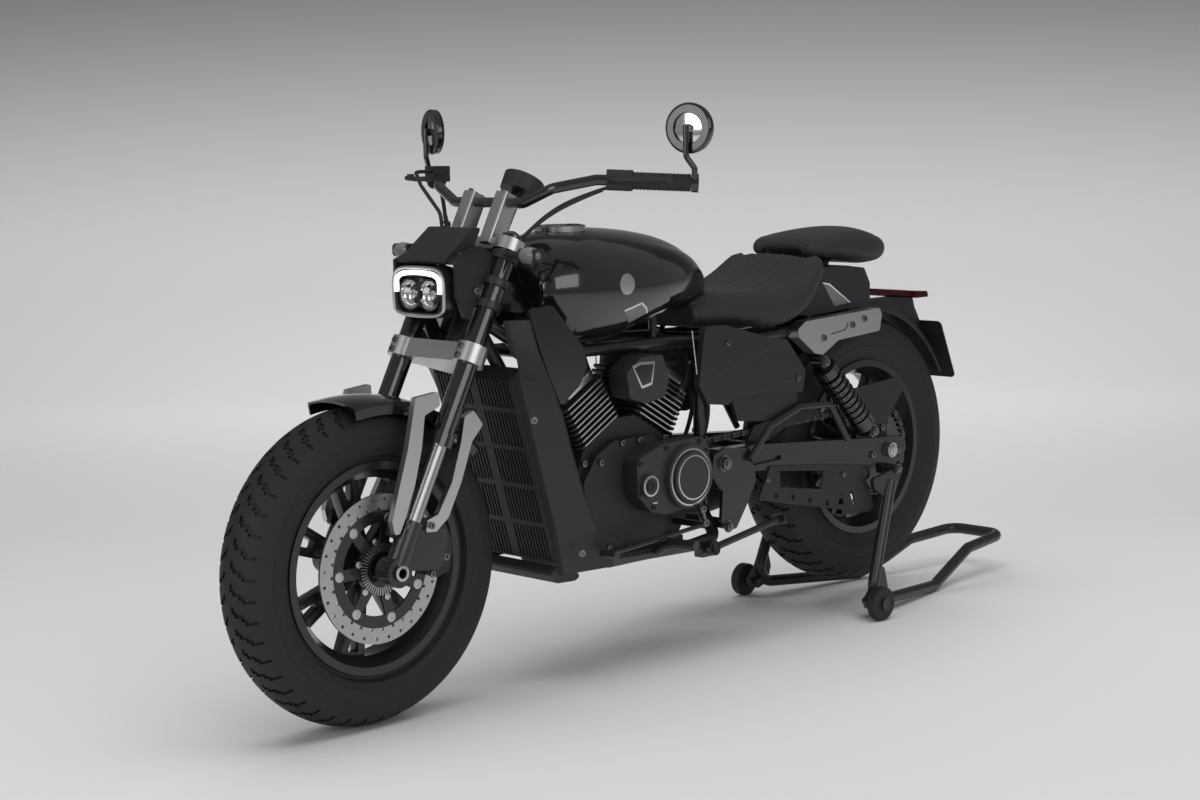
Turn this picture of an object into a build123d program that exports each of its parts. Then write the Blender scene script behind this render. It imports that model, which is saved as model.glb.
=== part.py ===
"""Cruiser motorcycle with a V-twin engine, held upright on its rear paddock stand.

Frame: +X forward, +Y to the rider's left, +Z up, in millimetres.  The origin is on the floor,
halfway between the front of the front tyre and the rear of the stand's handle.  Places in the
tables below are measured on the floor from the frame's datum, which lies PIVOT_X behind the
swingarm's pivot: x forward, z up.  A change of WHEELBASE moves the rear axle, with the wheel,
the end of the swingarm, the shock absorbers' feet and the stand.
"""
import os
from math import atan2, cos, degrees, hypot, radians, sin

from build123d import *

os.makedirs("parts", exist_ok=True)

# ---------------------------------------------------------------- fits
SEAT_GAP = 0.3          # pieces that are bolted or seated on each other
RUNNING_GAP = 0.05      # radial clearance of a wheel or stand on its pin
SIDE_PLAY = 0.5         # end float of a hub between its spacers
CHAIN_GAP = 0.8         # chain to sprocket teeth

# ---------------------------------------------------------------- running gear
WHEELBASE = 1520.0
FRONT_CENTRE = 913.0    # swingarm pivot to the front axle
PIVOT_X = 607.0         # swingarm pivot ahead of the frame's datum
PIVOT_Z = 431.0
RAKE = 27.5             # steering axis, degrees from the vertical
STEM_SETBACK = 45.0     # steering axis behind the fork legs
FORK_HALF = 103.0       # fork leg to the middle plane
FRONT_TYRE_R = 323.0
FRONT_TYRE_HALF = 66.0
REAR_TYRE_R = 332.0
REAR_TYRE_HALF = 75.0
REAR_LIFT = 57.0        # height of the rear tyre above the floor on the stand
RIM_R = 214.0           # rim flange, both wheels
BEAD_R = 203.0
FRONT_RIM_HALF = 50.0
REAR_RIM_HALF = 65.0
AXLE_R = 10.0

STAND_HANDLE_REACH = 560.0   # rear axle to the middle of the handle's rear tube
STAND_TUBE_R = 14.0

FRONT_AXLE_Z = FRONT_TYRE_R
REAR_AXLE_Z = REAR_TYRE_R + REAR_LIFT
FRONT_X = PIVOT_X + FRONT_CENTRE
REAR_X = FRONT_X - WHEELBASE
DATUM_X = (STAND_HANDLE_REACH + STAND_TUBE_R - WHEELBASE - FRONT_TYRE_R) / 2 - REAR_X


# What the clamps, the fork legs and the headlight sweep about the steering axis.
STEERING_SWEEP_BACK = 62.0
CLAMP_SWEEP = (151.0, 432.0, 492.0)
LEG_SWEEP = (141.0, 200.0, 640.0)
HEADLIGHT_SWEEP = (163.0, 516.0, 760.0)


# ---------------------------------------------------------------- planes and helpers
def spot(x, y, z):
    """A point from its distances forward of the datum, to the left and up from the floor."""
    return (DATUM_X + x, y, z)


def side(y=0.0):
    """The upright plane at y, seen from the right: x forward of the datum, y up; it faces -Y."""
    return Plane(origin=(DATUM_X, y, 0), x_dir=(1, 0, 0), z_dir=(0, -1, 0))


def trail(points):
    """Places given from the rear axle, as places from the datum."""
    return [(REAR_X + x, z) for x, z in points]


def cross(x):
    """The upright plane across the bike at x forward of the datum; it faces forward."""
    return Plane(origin=(DATUM_X + x, 0, 0), x_dir=(0, 1, 0), z_dir=(1, 0, 0))


def wheel_section(x, z):
    """The plane through an axle that holds a wheel's section: x to the left, y outward."""
    return Plane(origin=(DATUM_X + x, 0, z), x_dir=(0, 1, 0), z_dir=(1, 0, 0))


def wheel_side(x, z, y):
    """The plane of a wheel's side at y, with its origin on the axle; it faces +Y."""
    return Plane(origin=(DATUM_X + x, y, z), x_dir=(-1, 0, 0), z_dir=(0, 1, 0))


def axle_line(x, z):
    """The axis of an axle."""
    return Axis((DATUM_X + x, 0, z), (0, 1, 0))


STEER = Plane(
    origin=(
        DATUM_X + FRONT_X - STEM_SETBACK * cos(radians(RAKE)),
        0,
        FRONT_AXLE_Z - STEM_SETBACK * sin(radians(RAKE)),
    ),
    x_dir=(cos(radians(RAKE)), 0, sin(radians(RAKE))),
    z_dir=(-sin(radians(RAKE)), 0, cos(radians(RAKE))),
)


def head(up):
    """The plane square to the steering axis, at a height along it above the front axle."""
    return STEER.offset(up)


def steering_room(radius, low, high):
    """Cut away what the turning front end sweeps, out to a radius between two heights on its axis."""
    with BuildSketch(head(low)) as room:
        Circle(radius)
        with Locations((radius / 2 - STEERING_SWEEP_BACK, 0)):
            Rectangle(radius, 2 * radius, mode=Mode.INTERSECT)
    extrude(room.sketch, amount=high - low, mode=Mode.SUBTRACT)


def plate(points, outer, thickness, corner=0.0):
    """Add a flat plate parallel to the bike's side, from y = outer inwards by its thickness."""
    with BuildSketch(side(outer)) as outline:
        with BuildLine():
            Polyline(*points, close=True)
        make_face()
        if corner:
            fillet(outline.vertices(), corner)
    extrude(outline.sketch, amount=thickness)


def tube(points, bend, radius, mode=Mode.ADD):
    """Add a round tube along straight runs joined by bends."""
    with BuildLine() as run:
        if len(points) == 2:
            Line(*points)
        else:
            FilletPolyline(*points, radius=bend)
    with BuildSketch(Plane(origin=run.line @ 0, z_dir=run.line % 0)) as section:
        Circle(radius)
    sweep(sections=section.sketch, path=run.line, mode=mode)


def rod_y(x, z, y_low, y_high, radius, mode=Mode.ADD):
    """Add or cut a round bar across the bike between two values of y."""
    with BuildSketch(wheel_side(x, z, y_low)) as section:
        Circle(radius)
    extrude(section.sketch, amount=y_high - y_low, mode=mode)


def crowned_loft(rows, grow=0.0):
    """Add a body lofted across sections with a flat base, bowed sides and a crowned top.

    Columns of a row: x, half width and z of the base, of the widest place, of the shoulder,
    and z of the crown.
    """
    faces = []
    for x, base_half, base_z, mid_half, mid_z, top_half, top_z, crown_z in rows:
        with BuildSketch(cross(x)) as section:
            with BuildLine():
                Line((-base_half - grow, base_z - grow), (base_half + grow, base_z - grow))
                ThreePointArc(
                    (base_half + grow, base_z - grow),
                    (mid_half + grow, mid_z),
                    (top_half + grow, top_z + grow),
                )
                ThreePointArc(
                    (top_half + grow, top_z + grow),
                    (0, crown_z + grow),
                    (-top_half - grow, top_z + grow),
                )
                ThreePointArc(
                    (-top_half - grow, top_z + grow),
                    (-mid_half - grow, mid_z),
                    (-base_half - grow, base_z - grow),
                )
            make_face()
        faces.append(section.sketch)
    return loft(faces, mode=Mode.PRIVATE)


# ================================================================ wheels
def tyre(x, z, outer_r, half, rim_half):
    """Add a tyre: beads on the rim's seats, bowed sidewalls and a round crown."""
    bead_half = rim_half - 8 - SEAT_GAP
    shoulder = (half - 9, outer_r - 24)
    with BuildSketch(wheel_section(x, z)) as section:
        with BuildLine():
            Line((-bead_half, BEAD_R + SEAT_GAP), (bead_half, BEAD_R + SEAT_GAP))
            Line((bead_half, BEAD_R + SEAT_GAP), (bead_half + 1, RIM_R + 2))
            ThreePointArc((bead_half + 1, RIM_R + 2), (half, (RIM_R + outer_r) / 2 + 2), shoulder)
            ThreePointArc(shoulder, (0, outer_r), (-shoulder[0], shoulder[1]))
            ThreePointArc(
                (-shoulder[0], shoulder[1]),
                (-half, (RIM_R + outer_r) / 2 + 2),
                (-bead_half - 1, RIM_R + 2),
            )
            Line((-bead_half - 1, RIM_R + 2), (-bead_half, BEAD_R + SEAT_GAP))
        make_face()
    revolve(section.sketch, axis=axle_line(x, z))


WELL_R = 186.0
SPOKE_PAIRS = 7


def cast_wheel(x, z, rim_half, hub_r, hub_half, spoke_half, first_spoke):
    """Add a cast wheel: rim, hub and seven spokes, each forked round a gap at the rim."""
    with BuildSketch(wheel_section(x, z)) as rim:
        with BuildLine():
            Polyline(
                (-rim_half, RIM_R), (-rim_half + 6, RIM_R), (-rim_half + 8, BEAD_R),
                (-28, BEAD_R - 2), (-20, WELL_R), (20, WELL_R), (28, BEAD_R - 2),
                (rim_half - 8, BEAD_R), (rim_half - 6, RIM_R), (rim_half, RIM_R),
                (rim_half, BEAD_R - 5), (24, WELL_R - 7), (-24, WELL_R - 7), (-rim_half, BEAD_R - 5),
                close=True,
            )
        make_face()
    revolve(rim.sketch, axis=axle_line(x, z))
    rod_y(x, z, -hub_half, hub_half, hub_r)
    with BuildSketch(wheel_side(x, z, -spoke_half)) as spokes:
        with PolarLocations(0, SPOKE_PAIRS, start_angle=first_spoke):
            with BuildLine():
                Polyline(
                    (hub_r - 6, -19), (hub_r + 40, -16), (WELL_R - 4, -31),
                    (WELL_R - 4, 31), (hub_r + 40, 16), (hub_r - 6, 19),
                    close=True,
                )
            make_face()
        with PolarLocations(0, SPOKE_PAIRS, start_angle=first_spoke):
            with BuildLine():
                Polyline(
                    (WELL_R - 52, -7), (WELL_R - 12, -13), (WELL_R - 12, 13), (WELL_R - 52, 7),
                    close=True,
                )
            make_face(mode=Mode.SUBTRACT)
    extrude(spokes.sketch, amount=2 * spoke_half)
    rod_y(x, z, -hub_half - 1, hub_half + 1, AXLE_R + RUNNING_GAP, mode=Mode.SUBTRACT)


FRONT_HUB_HALF = 48.0
REAR_HUB_HALF = 80.0
FRONT_DISC_Y = 58.0
FRONT_DISC_R = 150.0
FRONT_DISC_INNER_R = 111.0
DISC_HALF = 2.5
PAD_GAP = 2.5           # calliper to disc, each side

with BuildPart() as front_tyre:
    tyre(FRONT_X, FRONT_AXLE_Z, FRONT_TYRE_R, FRONT_TYRE_HALF, FRONT_RIM_HALF)
front_tyre.part.label = "front_tyre"
export_step(front_tyre.part, "parts/front_tyre.step")

with BuildPart() as front_rim:
    cast_wheel(FRONT_X, FRONT_AXLE_Z, FRONT_RIM_HALF, 34, FRONT_HUB_HALF, 13, 180)
front_rim.part.label = "front_rim"
export_step(front_rim.part, "parts/front_rim.step")

with BuildPart() as rear_tyre:
    tyre(REAR_X, REAR_AXLE_Z, REAR_TYRE_R, REAR_TYRE_HALF, REAR_RIM_HALF)
rear_tyre.part.label = "rear_tyre"
export_step(rear_tyre.part, "parts/rear_tyre.step")

with BuildPart() as rear_rim:
    cast_wheel(REAR_X, REAR_AXLE_Z, REAR_RIM_HALF, 45, REAR_HUB_HALF, 15, 90)
rear_rim.part.label = "rear_rim"
export_step(rear_rim.part, "parts/rear_rim.step")

# The front disc floats on buttons round a spider that sits on the hub's left flange.
SPIDER_ARMS = 7
DISC_HOLE_R = 3.4
DISC_HOLES = 28
DISC_HOLE_ROWS = (121.0, 140.0)
with BuildPart() as front_disc:
    with BuildSketch(wheel_side(FRONT_X, FRONT_AXLE_Z, FRONT_DISC_Y - DISC_HALF)) as ring:
        Circle(FRONT_DISC_R)
        Circle(FRONT_DISC_INNER_R, mode=Mode.SUBTRACT)
        for row, radius in enumerate(DISC_HOLE_ROWS):
            with PolarLocations(radius, DISC_HOLES, start_angle=row * 180 / DISC_HOLES):
                Circle(DISC_HOLE_R, mode=Mode.SUBTRACT)
    extrude(ring.sketch, amount=2 * DISC_HALF)
    with BuildSketch(wheel_side(FRONT_X, FRONT_AXLE_Z, FRONT_DISC_Y - DISC_HALF)) as spider:
        Circle(FRONT_DISC_INNER_R)
        Circle(94, mode=Mode.SUBTRACT)
        Circle(52)
        with PolarLocations(72, SPIDER_ARMS, start_angle=180):
            Rectangle(52, 24)
        Circle(30, mode=Mode.SUBTRACT)
    extrude(spider.sketch, amount=2 * DISC_HALF)
    rod_y(FRONT_X, FRONT_AXLE_Z, FRONT_HUB_HALF, FRONT_DISC_Y + DISC_HALF, 50)
    rod_y(FRONT_X, FRONT_AXLE_Z, FRONT_HUB_HALF - 1, FRONT_DISC_Y + DISC_HALF + 1, 24, mode=Mode.SUBTRACT)
front_disc.part.label = "front_disc"
export_step(front_disc.part, "parts/front_disc.step")

# ---------------------------------------------------------------- final drive
CHAIN_Y = 97.0
CHAIN_HALF = 7.0
REAR_SPROCKET_R = 100.0
REAR_SPROCKET_TEETH = 42
FRONT_SPROCKET_R = 36.0
FRONT_SPROCKET_X = 690.0
FRONT_SPROCKET_Z = 431.0
CHAIN_BAND = 14.0       # height of the chain's side plates

with BuildPart() as rear_sprocket:
    with BuildSketch(wheel_side(REAR_X, REAR_AXLE_Z, CHAIN_Y - 3)) as sprocket:
        Circle(REAR_SPROCKET_R - 7)
        with PolarLocations(REAR_SPROCKET_R - 4, REAR_SPROCKET_TEETH):
            Trapezoid(11, 8, 62, rotation=-90)
        with PolarLocations(70, 6):
            Circle(13, mode=Mode.SUBTRACT)
        Circle(AXLE_R + 6, mode=Mode.SUBTRACT)
    extrude(sprocket.sketch, amount=6)
    rod_y(REAR_X, REAR_AXLE_Z, REAR_HUB_HALF, CHAIN_Y - 2, 52)
    rod_y(REAR_X, REAR_AXLE_Z, REAR_HUB_HALF - 1, CHAIN_Y + 4, AXLE_R + 6, mode=Mode.SUBTRACT)
rear_sprocket.part.label = "rear_sprocket"
export_step(rear_sprocket.part, "parts/rear_sprocket.step")

REAR_DISC_Y = -90.5
REAR_DISC_R = 120.0
with BuildPart() as rear_disc:
    with BuildSketch(wheel_side(REAR_X, REAR_AXLE_Z, REAR_DISC_Y - DISC_HALF)) as ring:
        Circle(REAR_DISC_R)
        Circle(88, mode=Mode.SUBTRACT)
        Circle(50)
        with PolarLocations(70, 5):
            Rectangle(44, 16)
        Circle(AXLE_R + 6, mode=Mode.SUBTRACT)
    extrude(ring.sketch, amount=2 * DISC_HALF)
    rod_y(REAR_X, REAR_AXLE_Z, REAR_DISC_Y, -REAR_HUB_HALF, 46)
    rod_y(REAR_X, REAR_AXLE_Z, REAR_DISC_Y - 4, -REAR_HUB_HALF + 1, AXLE_R + 6, mode=Mode.SUBTRACT)
rear_disc.part.label = "rear_disc"
export_step(rear_disc.part, "parts/rear_disc.step")


def chain_outline(grow):
    """Add to the sketch the stadium round both sprockets, larger by grow."""
    big = REAR_SPROCKET_R + grow
    small = FRONT_SPROCKET_R + grow
    lean = degrees(atan2(FRONT_SPROCKET_Z - REAR_AXLE_Z, FRONT_SPROCKET_X - REAR_X))
    span = hypot(FRONT_SPROCKET_X - REAR_X, FRONT_SPROCKET_Z - REAR_AXLE_Z)
    slope = degrees(atan2(big - small, (span ** 2 - (big - small) ** 2) ** 0.5))
    up = lean + 90 - slope
    down = lean - 90 + slope
    rear = (REAR_X, REAR_AXLE_Z)
    front = (FRONT_SPROCKET_X, FRONT_SPROCKET_Z)

    def rim_point(centre, radius, angle):
        return (centre[0] + radius * cos(radians(angle)), centre[1] + radius * sin(radians(angle)))

    with BuildLine() as loop:
        ThreePointArc(
            rim_point(rear, big, up), rim_point(rear, big, lean + 180), rim_point(rear, big, down)
        )
        Line(rim_point(rear, big, down), rim_point(front, small, down))
        ThreePointArc(
            rim_point(front, small, down), rim_point(front, small, lean), rim_point(front, small, up)
        )
        Line(rim_point(front, small, up), rim_point(rear, big, up))
    return loop.line


with BuildPart() as drive_chain:
    with BuildSketch(side(CHAIN_Y + CHAIN_HALF)) as band:
        make_face(chain_outline(CHAIN_GAP + CHAIN_BAND))
        make_face(chain_outline(CHAIN_GAP), mode=Mode.SUBTRACT)
    extrude(band.sketch, amount=2 * CHAIN_HALF)
drive_chain.part.label = "drive_chain"
export_step(drive_chain.part, "parts/drive_chain.step")

# ================================================================ front end
LOWER_CLAMP_UP = 461.0
UPPER_CLAMP_UP = 699.0
CLAMP_BOSS_R = 32.0
FORK_OUTER_R = 22.0
FORK_INNER_R = 17.5
FORK_COLLAR_UP = 265.0
FORK_CASTING_UP = 105.0
FORK_TOP_UP = 722.0
CASTING_HALF = 22.0
STEM_R = 14.0
RISER_HALF = 50.0
BAR_R = 11.0
BAR_X = 1157.0
BAR_Z = 1030.0
BAR_UP = 795.0          # the bar's height along the steering axis

with BuildPart() as clamps:
    for up, thickness in ((LOWER_CLAMP_UP - 20, 40), (UPPER_CLAMP_UP - 12, 26)):
        with BuildSketch(head(up)) as clamp:
            with Locations((STEM_SETBACK, FORK_HALF), (STEM_SETBACK, -FORK_HALF)):
                Circle(CLAMP_BOSS_R)
            Circle(36)
            with BuildLine():
                Polyline(
                    (STEM_SETBACK + 18, FORK_HALF), (STEM_SETBACK + 18, -FORK_HALF),
                    (STEM_SETBACK - 22, -FORK_HALF), (-30, -20), (-30, 20), (STEM_SETBACK - 22, FORK_HALF),
                    close=True,
                )
            make_face()
            with Locations((STEM_SETBACK, FORK_HALF), (STEM_SETBACK, -FORK_HALF)):
                Circle(FORK_OUTER_R + SEAT_GAP, mode=Mode.SUBTRACT)
        extrude(clamp.sketch, amount=thickness)
    with BuildSketch(head(LOWER_CLAMP_UP)) as stem:
        Circle(STEM_R)
    extrude(stem.sketch, amount=UPPER_CLAMP_UP + 30 - LOWER_CLAMP_UP)
    for y in (RISER_HALF, -RISER_HALF):
        foot_plane = Plane(
            origin=head(UPPER_CLAMP_UP).from_local_coords((STEM_SETBACK + 4, y, 0)),
            x_dir=STEER.x_dir,
            z_dir=STEER.z_dir,
        )
        with BuildSketch(foot_plane) as foot:
            RectangleRounded(42, 34, 5)
        extrude(foot.sketch, amount=BAR_UP - UPPER_CLAMP_UP + 18)
    rod_y(BAR_X, BAR_Z, -80, 80, BAR_R + SEAT_GAP, mode=Mode.SUBTRACT)
clamps.part.label = "clamps"
export_step(clamps.part, "parts/clamps.step")

with BuildPart() as fork_tubes:
    with Locations(STEER):
        with Locations((STEM_SETBACK, FORK_HALF, 0), (STEM_SETBACK, -FORK_HALF, 0)):
            with Locations((0, 0, FORK_COLLAR_UP)):
                Cylinder(FORK_OUTER_R, FORK_TOP_UP - FORK_COLLAR_UP, align=(Align.CENTER, Align.CENTER, Align.MIN))
                Cylinder(FORK_OUTER_R + 4, 26, align=(Align.CENTER, Align.CENTER, Align.MIN))
fork_tubes.part.label = "fork_tubes"
export_step(fork_tubes.part, "parts/fork_tubes.step")

FORK_INNER_FACE = FORK_HALF - CASTING_HALF
with BuildPart() as fork_lowers:
    with Locations(STEER):
        with Locations((STEM_SETBACK, FORK_HALF, 0), (STEM_SETBACK, -FORK_HALF, 0)):
            with Locations((0, 0, FORK_CASTING_UP - 20)):
                Cylinder(
                    FORK_INNER_R, FORK_COLLAR_UP - FORK_CASTING_UP + 20,
                    align=(Align.CENTER, Align.CENTER, Align.MIN),
                )
            with Locations((0, 0, -8)):
                Cylinder(23, FORK_CASTING_UP + 8, align=(Align.CENTER, Align.CENTER, Align.MIN))
    for s in (1, -1):
        rod_y(FRONT_X, FRONT_AXLE_Z, min(s * FORK_INNER_FACE, s * 122), max(s * FORK_INNER_FACE, s * 122), 30)
    rod_y(FRONT_X, FRONT_AXLE_Z, -FORK_INNER_FACE - 4, FORK_INNER_FACE + 4, AXLE_R)
    for s in (1, -1):
        low, high = sorted((s * (FRONT_HUB_HALF + SIDE_PLAY), s * (FORK_INNER_FACE + 2)))
        rod_y(FRONT_X, FRONT_AXLE_Z, low, high, 16)
    rod_y(FRONT_X, FRONT_AXLE_Z, 100, 127, 16)
    # Lugs for the fender stays on both legs.
    for outer in (100, -88):
        plate([(1428, 392), (1428, 418), (1520, 424), (1528, 398), (1500, 380), (1460, 378)], outer, 12, 6)
    # Calliper lugs on the left leg.
    plate([(1375, 372), (1392, 392), (1470, 400), (1500, 350), (1480, 318), (1405, 308), (1390, 322)], 100, 12, 6)
    rod_y(FRONT_X, FRONT_AXLE_Z, 80, 130, 9, mode=Mode.SUBTRACT)
fork_lowers.part.label = "fork_lowers"
export_step(fork_lowers.part, "parts/fork_lowers.step")

with BuildPart() as front_calliper:
    body = [(1366, 300), (1352, 350), (1372, 398), (1408, 402), (1425, 372), (1425, 312), (1400, 290)]
    disc_high = FRONT_DISC_Y + DISC_HALF + PAD_GAP
    disc_low = FRONT_DISC_Y - DISC_HALF - PAD_GAP
    plate(body, 88 - SEAT_GAP, 88 - SEAT_GAP - disc_high, 8)
    plate(body, disc_low, 14, 8)
    bridge = [(1360, 318), (1350, 350), (1364, 388), (1374, 384), (1364, 350), (1364, 322)]
    plate(bridge, disc_high + 4, disc_high - disc_low + 8)
front_calliper.part.label = "front_calliper"
export_step(front_calliper.part, "parts/front_calliper.step")

FENDER_WALL = 4.0
FENDER_HALF = 75.0
with BuildPart() as front_fender:
    with BuildSketch(wheel_section(FRONT_X, FRONT_AXLE_Z)) as section:
        with BuildLine():
            ThreePointArc((-73, 334), (0, 343), (73, 334))
            Polyline(
                (73, 334), (FENDER_HALF, 326), (FENDER_HALF, 308), (FENDER_HALF - FENDER_WALL, 308),
                (FENDER_HALF - FENDER_WALL, 324), (69, 330),
            )
            ThreePointArc((69, 330), (0, 343 - FENDER_WALL), (-69, 330))
            Polyline(
                (-69, 330), (FENDER_WALL - FENDER_HALF, 324), (FENDER_WALL - FENDER_HALF, 308), (-FENDER_HALF, 308),
                (-FENDER_HALF, 326), (-73, 334),
            )
        make_face()
    revolve(section.sketch, axis=axle_line(FRONT_X, FRONT_AXLE_Z), revolution_arc=61)
front_fender.part = front_fender.part.rotate(axle_line(FRONT_X, FRONT_AXLE_Z), -50)
front_fender.part.label = "front_fender"
export_step(front_fender.part, "parts/front_fender.step")

FRONT_STAY = [
    (1400, 640), (1402, 668), (1462, 662), (1486, 560), (1512, 482), (1530, 424), (1524, 398), (1512, 398),
    (1498, 424), (1470, 490), (1450, 560), (1440, 625),
]
REAR_STAY = [
    (1288, 590), (1312, 622), (1336, 612), (1348, 560), (1374, 484), (1412, 424), (1440, 416), (1446, 392),
    (1418, 390), (1386, 414), (1350, 480), (1318, 560),
]
with BuildPart() as fender_stays:
    for outer in (114, -100 - SEAT_GAP):
        plate(FRONT_STAY, outer, 14 - SEAT_GAP, 5)
        plate(REAR_STAY, outer, 14 - SEAT_GAP, 5)
    for x, z in ((1445, 636), (1330.4, 578.6)):
        rod_y(x, z, FENDER_HALF + SEAT_GAP, 101, 7)
        rod_y(x, z, -101, -FENDER_HALF - SEAT_GAP, 7)
fender_stays.part.label = "fender_stays"
export_step(fender_stays.part, "parts/fender_stays.step")

# ---------------------------------------------------------------- headlight
HEADLIGHT_Z = 858.0
HEADLIGHT_FACE_X = 1352.0
with BuildPart() as headlight:
    shells = []
    for x, width, height, corner in ((HEADLIGHT_FACE_X, 158, 102, 34), (1318, 164, 106, 36), (1270, 120, 84, 30)):
        with BuildSketch(cross(x)) as ring:
            with Locations((0, HEADLIGHT_Z)):
                RectangleRounded(width, height, corner)
        shells.append(ring.sketch)
    loft(shells, ruled=True)
    with BuildSketch(cross(HEADLIGHT_FACE_X)) as mouth:
        with Locations((0, HEADLIGHT_Z - 6)):
            RectangleRounded(134, 72, 24)
    extrude(mouth.sketch, amount=-30, taper=12, mode=Mode.SUBTRACT)
    with BuildSketch(cross(HEADLIGHT_FACE_X - 32)) as lamps:
        with Locations((-30, HEADLIGHT_Z - 6), (30, HEADLIGHT_Z - 6)):
            Circle(19)
    extrude(lamps.sketch, amount=14)
    rod_y(1298, HEADLIGHT_Z, -90 + SEAT_GAP, 90 - SEAT_GAP, 14)
headlight.part.label = "headlight"
export_step(headlight.part, "parts/headlight.step")

with BuildPart() as headlight_bracket:
    for up in (560, 610):
        with BuildSketch(head(up)) as band:
            with Locations((STEM_SETBACK, FORK_HALF)):
                Circle(FORK_OUTER_R + 6)
                Circle(FORK_OUTER_R + SEAT_GAP, mode=Mode.SUBTRACT)
        extrude(band.sketch, amount=16)
    plate([(1303, 802), (1316, 806), (1336, 850), (1336, 920), (1262, 946), (1236, 930), (1268, 866)], 98, 8, 4)
    mirror(about=Plane.XZ)
    plate([(1300, 916), (1346, 915), (1332, 930), (1262, 984), (1242, 984), (1262, 946)], 70, 140, 4)
    plate([(1252, 930), (1300, 915), (1334, 914), (1334, 921), (1290, 940), (1262, 948)], 92, 184)
headlight_bracket.part.label = "headlight_bracket"
export_step(headlight_bracket.part, "parts/headlight_bracket.step")

INDICATOR_X = 1222.0
INDICATOR_Z = 930.0
with BuildPart() as front_indicators:
    with Locations(Pos(*spot(INDICATOR_X, 196, INDICATOR_Z))):
        Box(30, 50, 28)
    fillet(front_indicators.edges().filter_by(Axis.Y), 9)
    rod_y(INDICATOR_X, INDICATOR_Z, FORK_HALF + 8, 176, 7)
    with BuildSketch(head(667)) as band:
        with Locations((STEM_SETBACK, FORK_HALF)):
            Circle(FORK_OUTER_R + 6)
    extrude(band.sketch, amount=17)
    with BuildSketch(head(650)) as hole:
        with Locations((STEM_SETBACK, FORK_HALF)):
            Circle(FORK_OUTER_R + SEAT_GAP)
    extrude(hole.sketch, amount=50, mode=Mode.SUBTRACT)
    mirror(about=Plane.XZ)
front_indicators.part.label = "front_indicators"
export_step(front_indicators.part, "parts/front_indicators.step")

# ---------------------------------------------------------------- handlebar
GRIP_R = 17.0
BAR_POINTS = [
    (BAR_X, 0, BAR_Z), (BAR_X, 105, BAR_Z), (1140, 175, 1060), (1085, 245, 1076), (1048, 292, 1074), (950, 402, 1066)
]
BAR_RUN = [spot(x, -y, z) for x, y, z in BAR_POINTS[:0:-1]] + [spot(*point) for point in BAR_POINTS[1:]]
BAR_BEND = 30.0
RESERVOIR_X = 1074.0
with BuildPart() as handlebar:
    tube(BAR_RUN, BAR_BEND, BAR_R)
handlebar.part.label = "handlebar"
export_step(handlebar.part, "parts/handlebar.step")

# Grips, switchgear, levers and reservoir follow the straight outer stretch of the bar.
GRIP_START = Vector(*spot(*BAR_POINTS[-2]))
GRIP_END = Vector(*spot(*BAR_POINTS[-1]))
GRIP_ALONG = (GRIP_END - GRIP_START).normalized()
GRIP_PLANE = Plane(origin=GRIP_START, x_dir=(GRIP_ALONG.Y, -GRIP_ALONG.X, 0), z_dir=GRIP_ALONG)
GRIP_LENGTH = (GRIP_END - GRIP_START).length
with BuildPart() as hand_controls:
    with BuildSketch(GRIP_PLANE.offset(14)) as grip:
        Circle(GRIP_R)
    extrude(grip.sketch, amount=GRIP_LENGTH - 30)
    with BuildSketch(GRIP_PLANE.offset(-38)) as switchgear:
        RectangleRounded(40, 42, 12)
    extrude(switchgear.sketch, amount=52)
    lever_points = [
        GRIP_PLANE.from_local_coords(p)
        for p in ((16, 0, -30), (46, 0, -22), (66, -4, 20), (60, -8, 90))
    ]
    tube(lever_points, 14, 5.5)
    with Locations(lever_points[-1]):
        Cylinder(8, 14)
    mirror(about=Plane.XZ)
    with Locations(Pos(*spot(RESERVOIR_X, -258, 1086))):
        Box(34, 44, 34)
    tube(BAR_RUN, BAR_BEND, BAR_R + SEAT_GAP, mode=Mode.SUBTRACT)
hand_controls.part.label = "hand_controls"
export_step(hand_controls.part, "parts/hand_controls.step")

MIRROR_X = 962.0
MIRROR_Y = 393.0
MIRROR_Z = 1176.0
MIRROR_R = 51.0
MIRROR_TOE = 18.0
with BuildPart() as mirrors:
    face_dir = Vector(cos(radians(MIRROR_TOE)), sin(radians(MIRROR_TOE)), 0)
    disc_plane = Plane(
        origin=spot(MIRROR_X, MIRROR_Y, MIRROR_Z), x_dir=(-face_dir.Y, face_dir.X, 0), z_dir=face_dir
    )
    with BuildSketch(disc_plane) as disc:
        Circle(MIRROR_R)
    extrude(disc.sketch, amount=16)
    fillet(mirrors.edges().filter_by(GeomType.CIRCLE), 6)
    with BuildSketch(disc_plane.offset(16)) as dish:
        Circle(32)
    extrude(dish.sketch, amount=-5, mode=Mode.SUBTRACT)
    with BuildSketch(disc_plane.offset(10)) as boss:
        Circle(9)
    extrude(boss.sketch, amount=14)
    clamp_centre = GRIP_PLANE.from_local_coords((0, 0, GRIP_LENGTH - 8))
    arm_top = disc_plane.from_local_coords((0, 0, 24))
    stalk = [
        arm_top + Vector(0, 0, 6),
        arm_top + Vector(0, 0, -56),
        clamp_centre + GRIP_PLANE.x_dir * 20 + Vector(0, 0, 30),
        clamp_centre + GRIP_PLANE.x_dir * 16 + Vector(0, 0, 8),
    ]
    tube(stalk, 10, 6)
    with BuildSketch(GRIP_PLANE.offset(GRIP_LENGTH - 15)) as clamp:
        Circle(19)
        Circle(BAR_R + SEAT_GAP / 2, mode=Mode.SUBTRACT)
    extrude(clamp.sketch, amount=14.5)
    mirror(about=Plane.XZ)
mirrors.part.label = "mirrors"
export_step(mirrors.part, "parts/mirrors.step")

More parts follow.
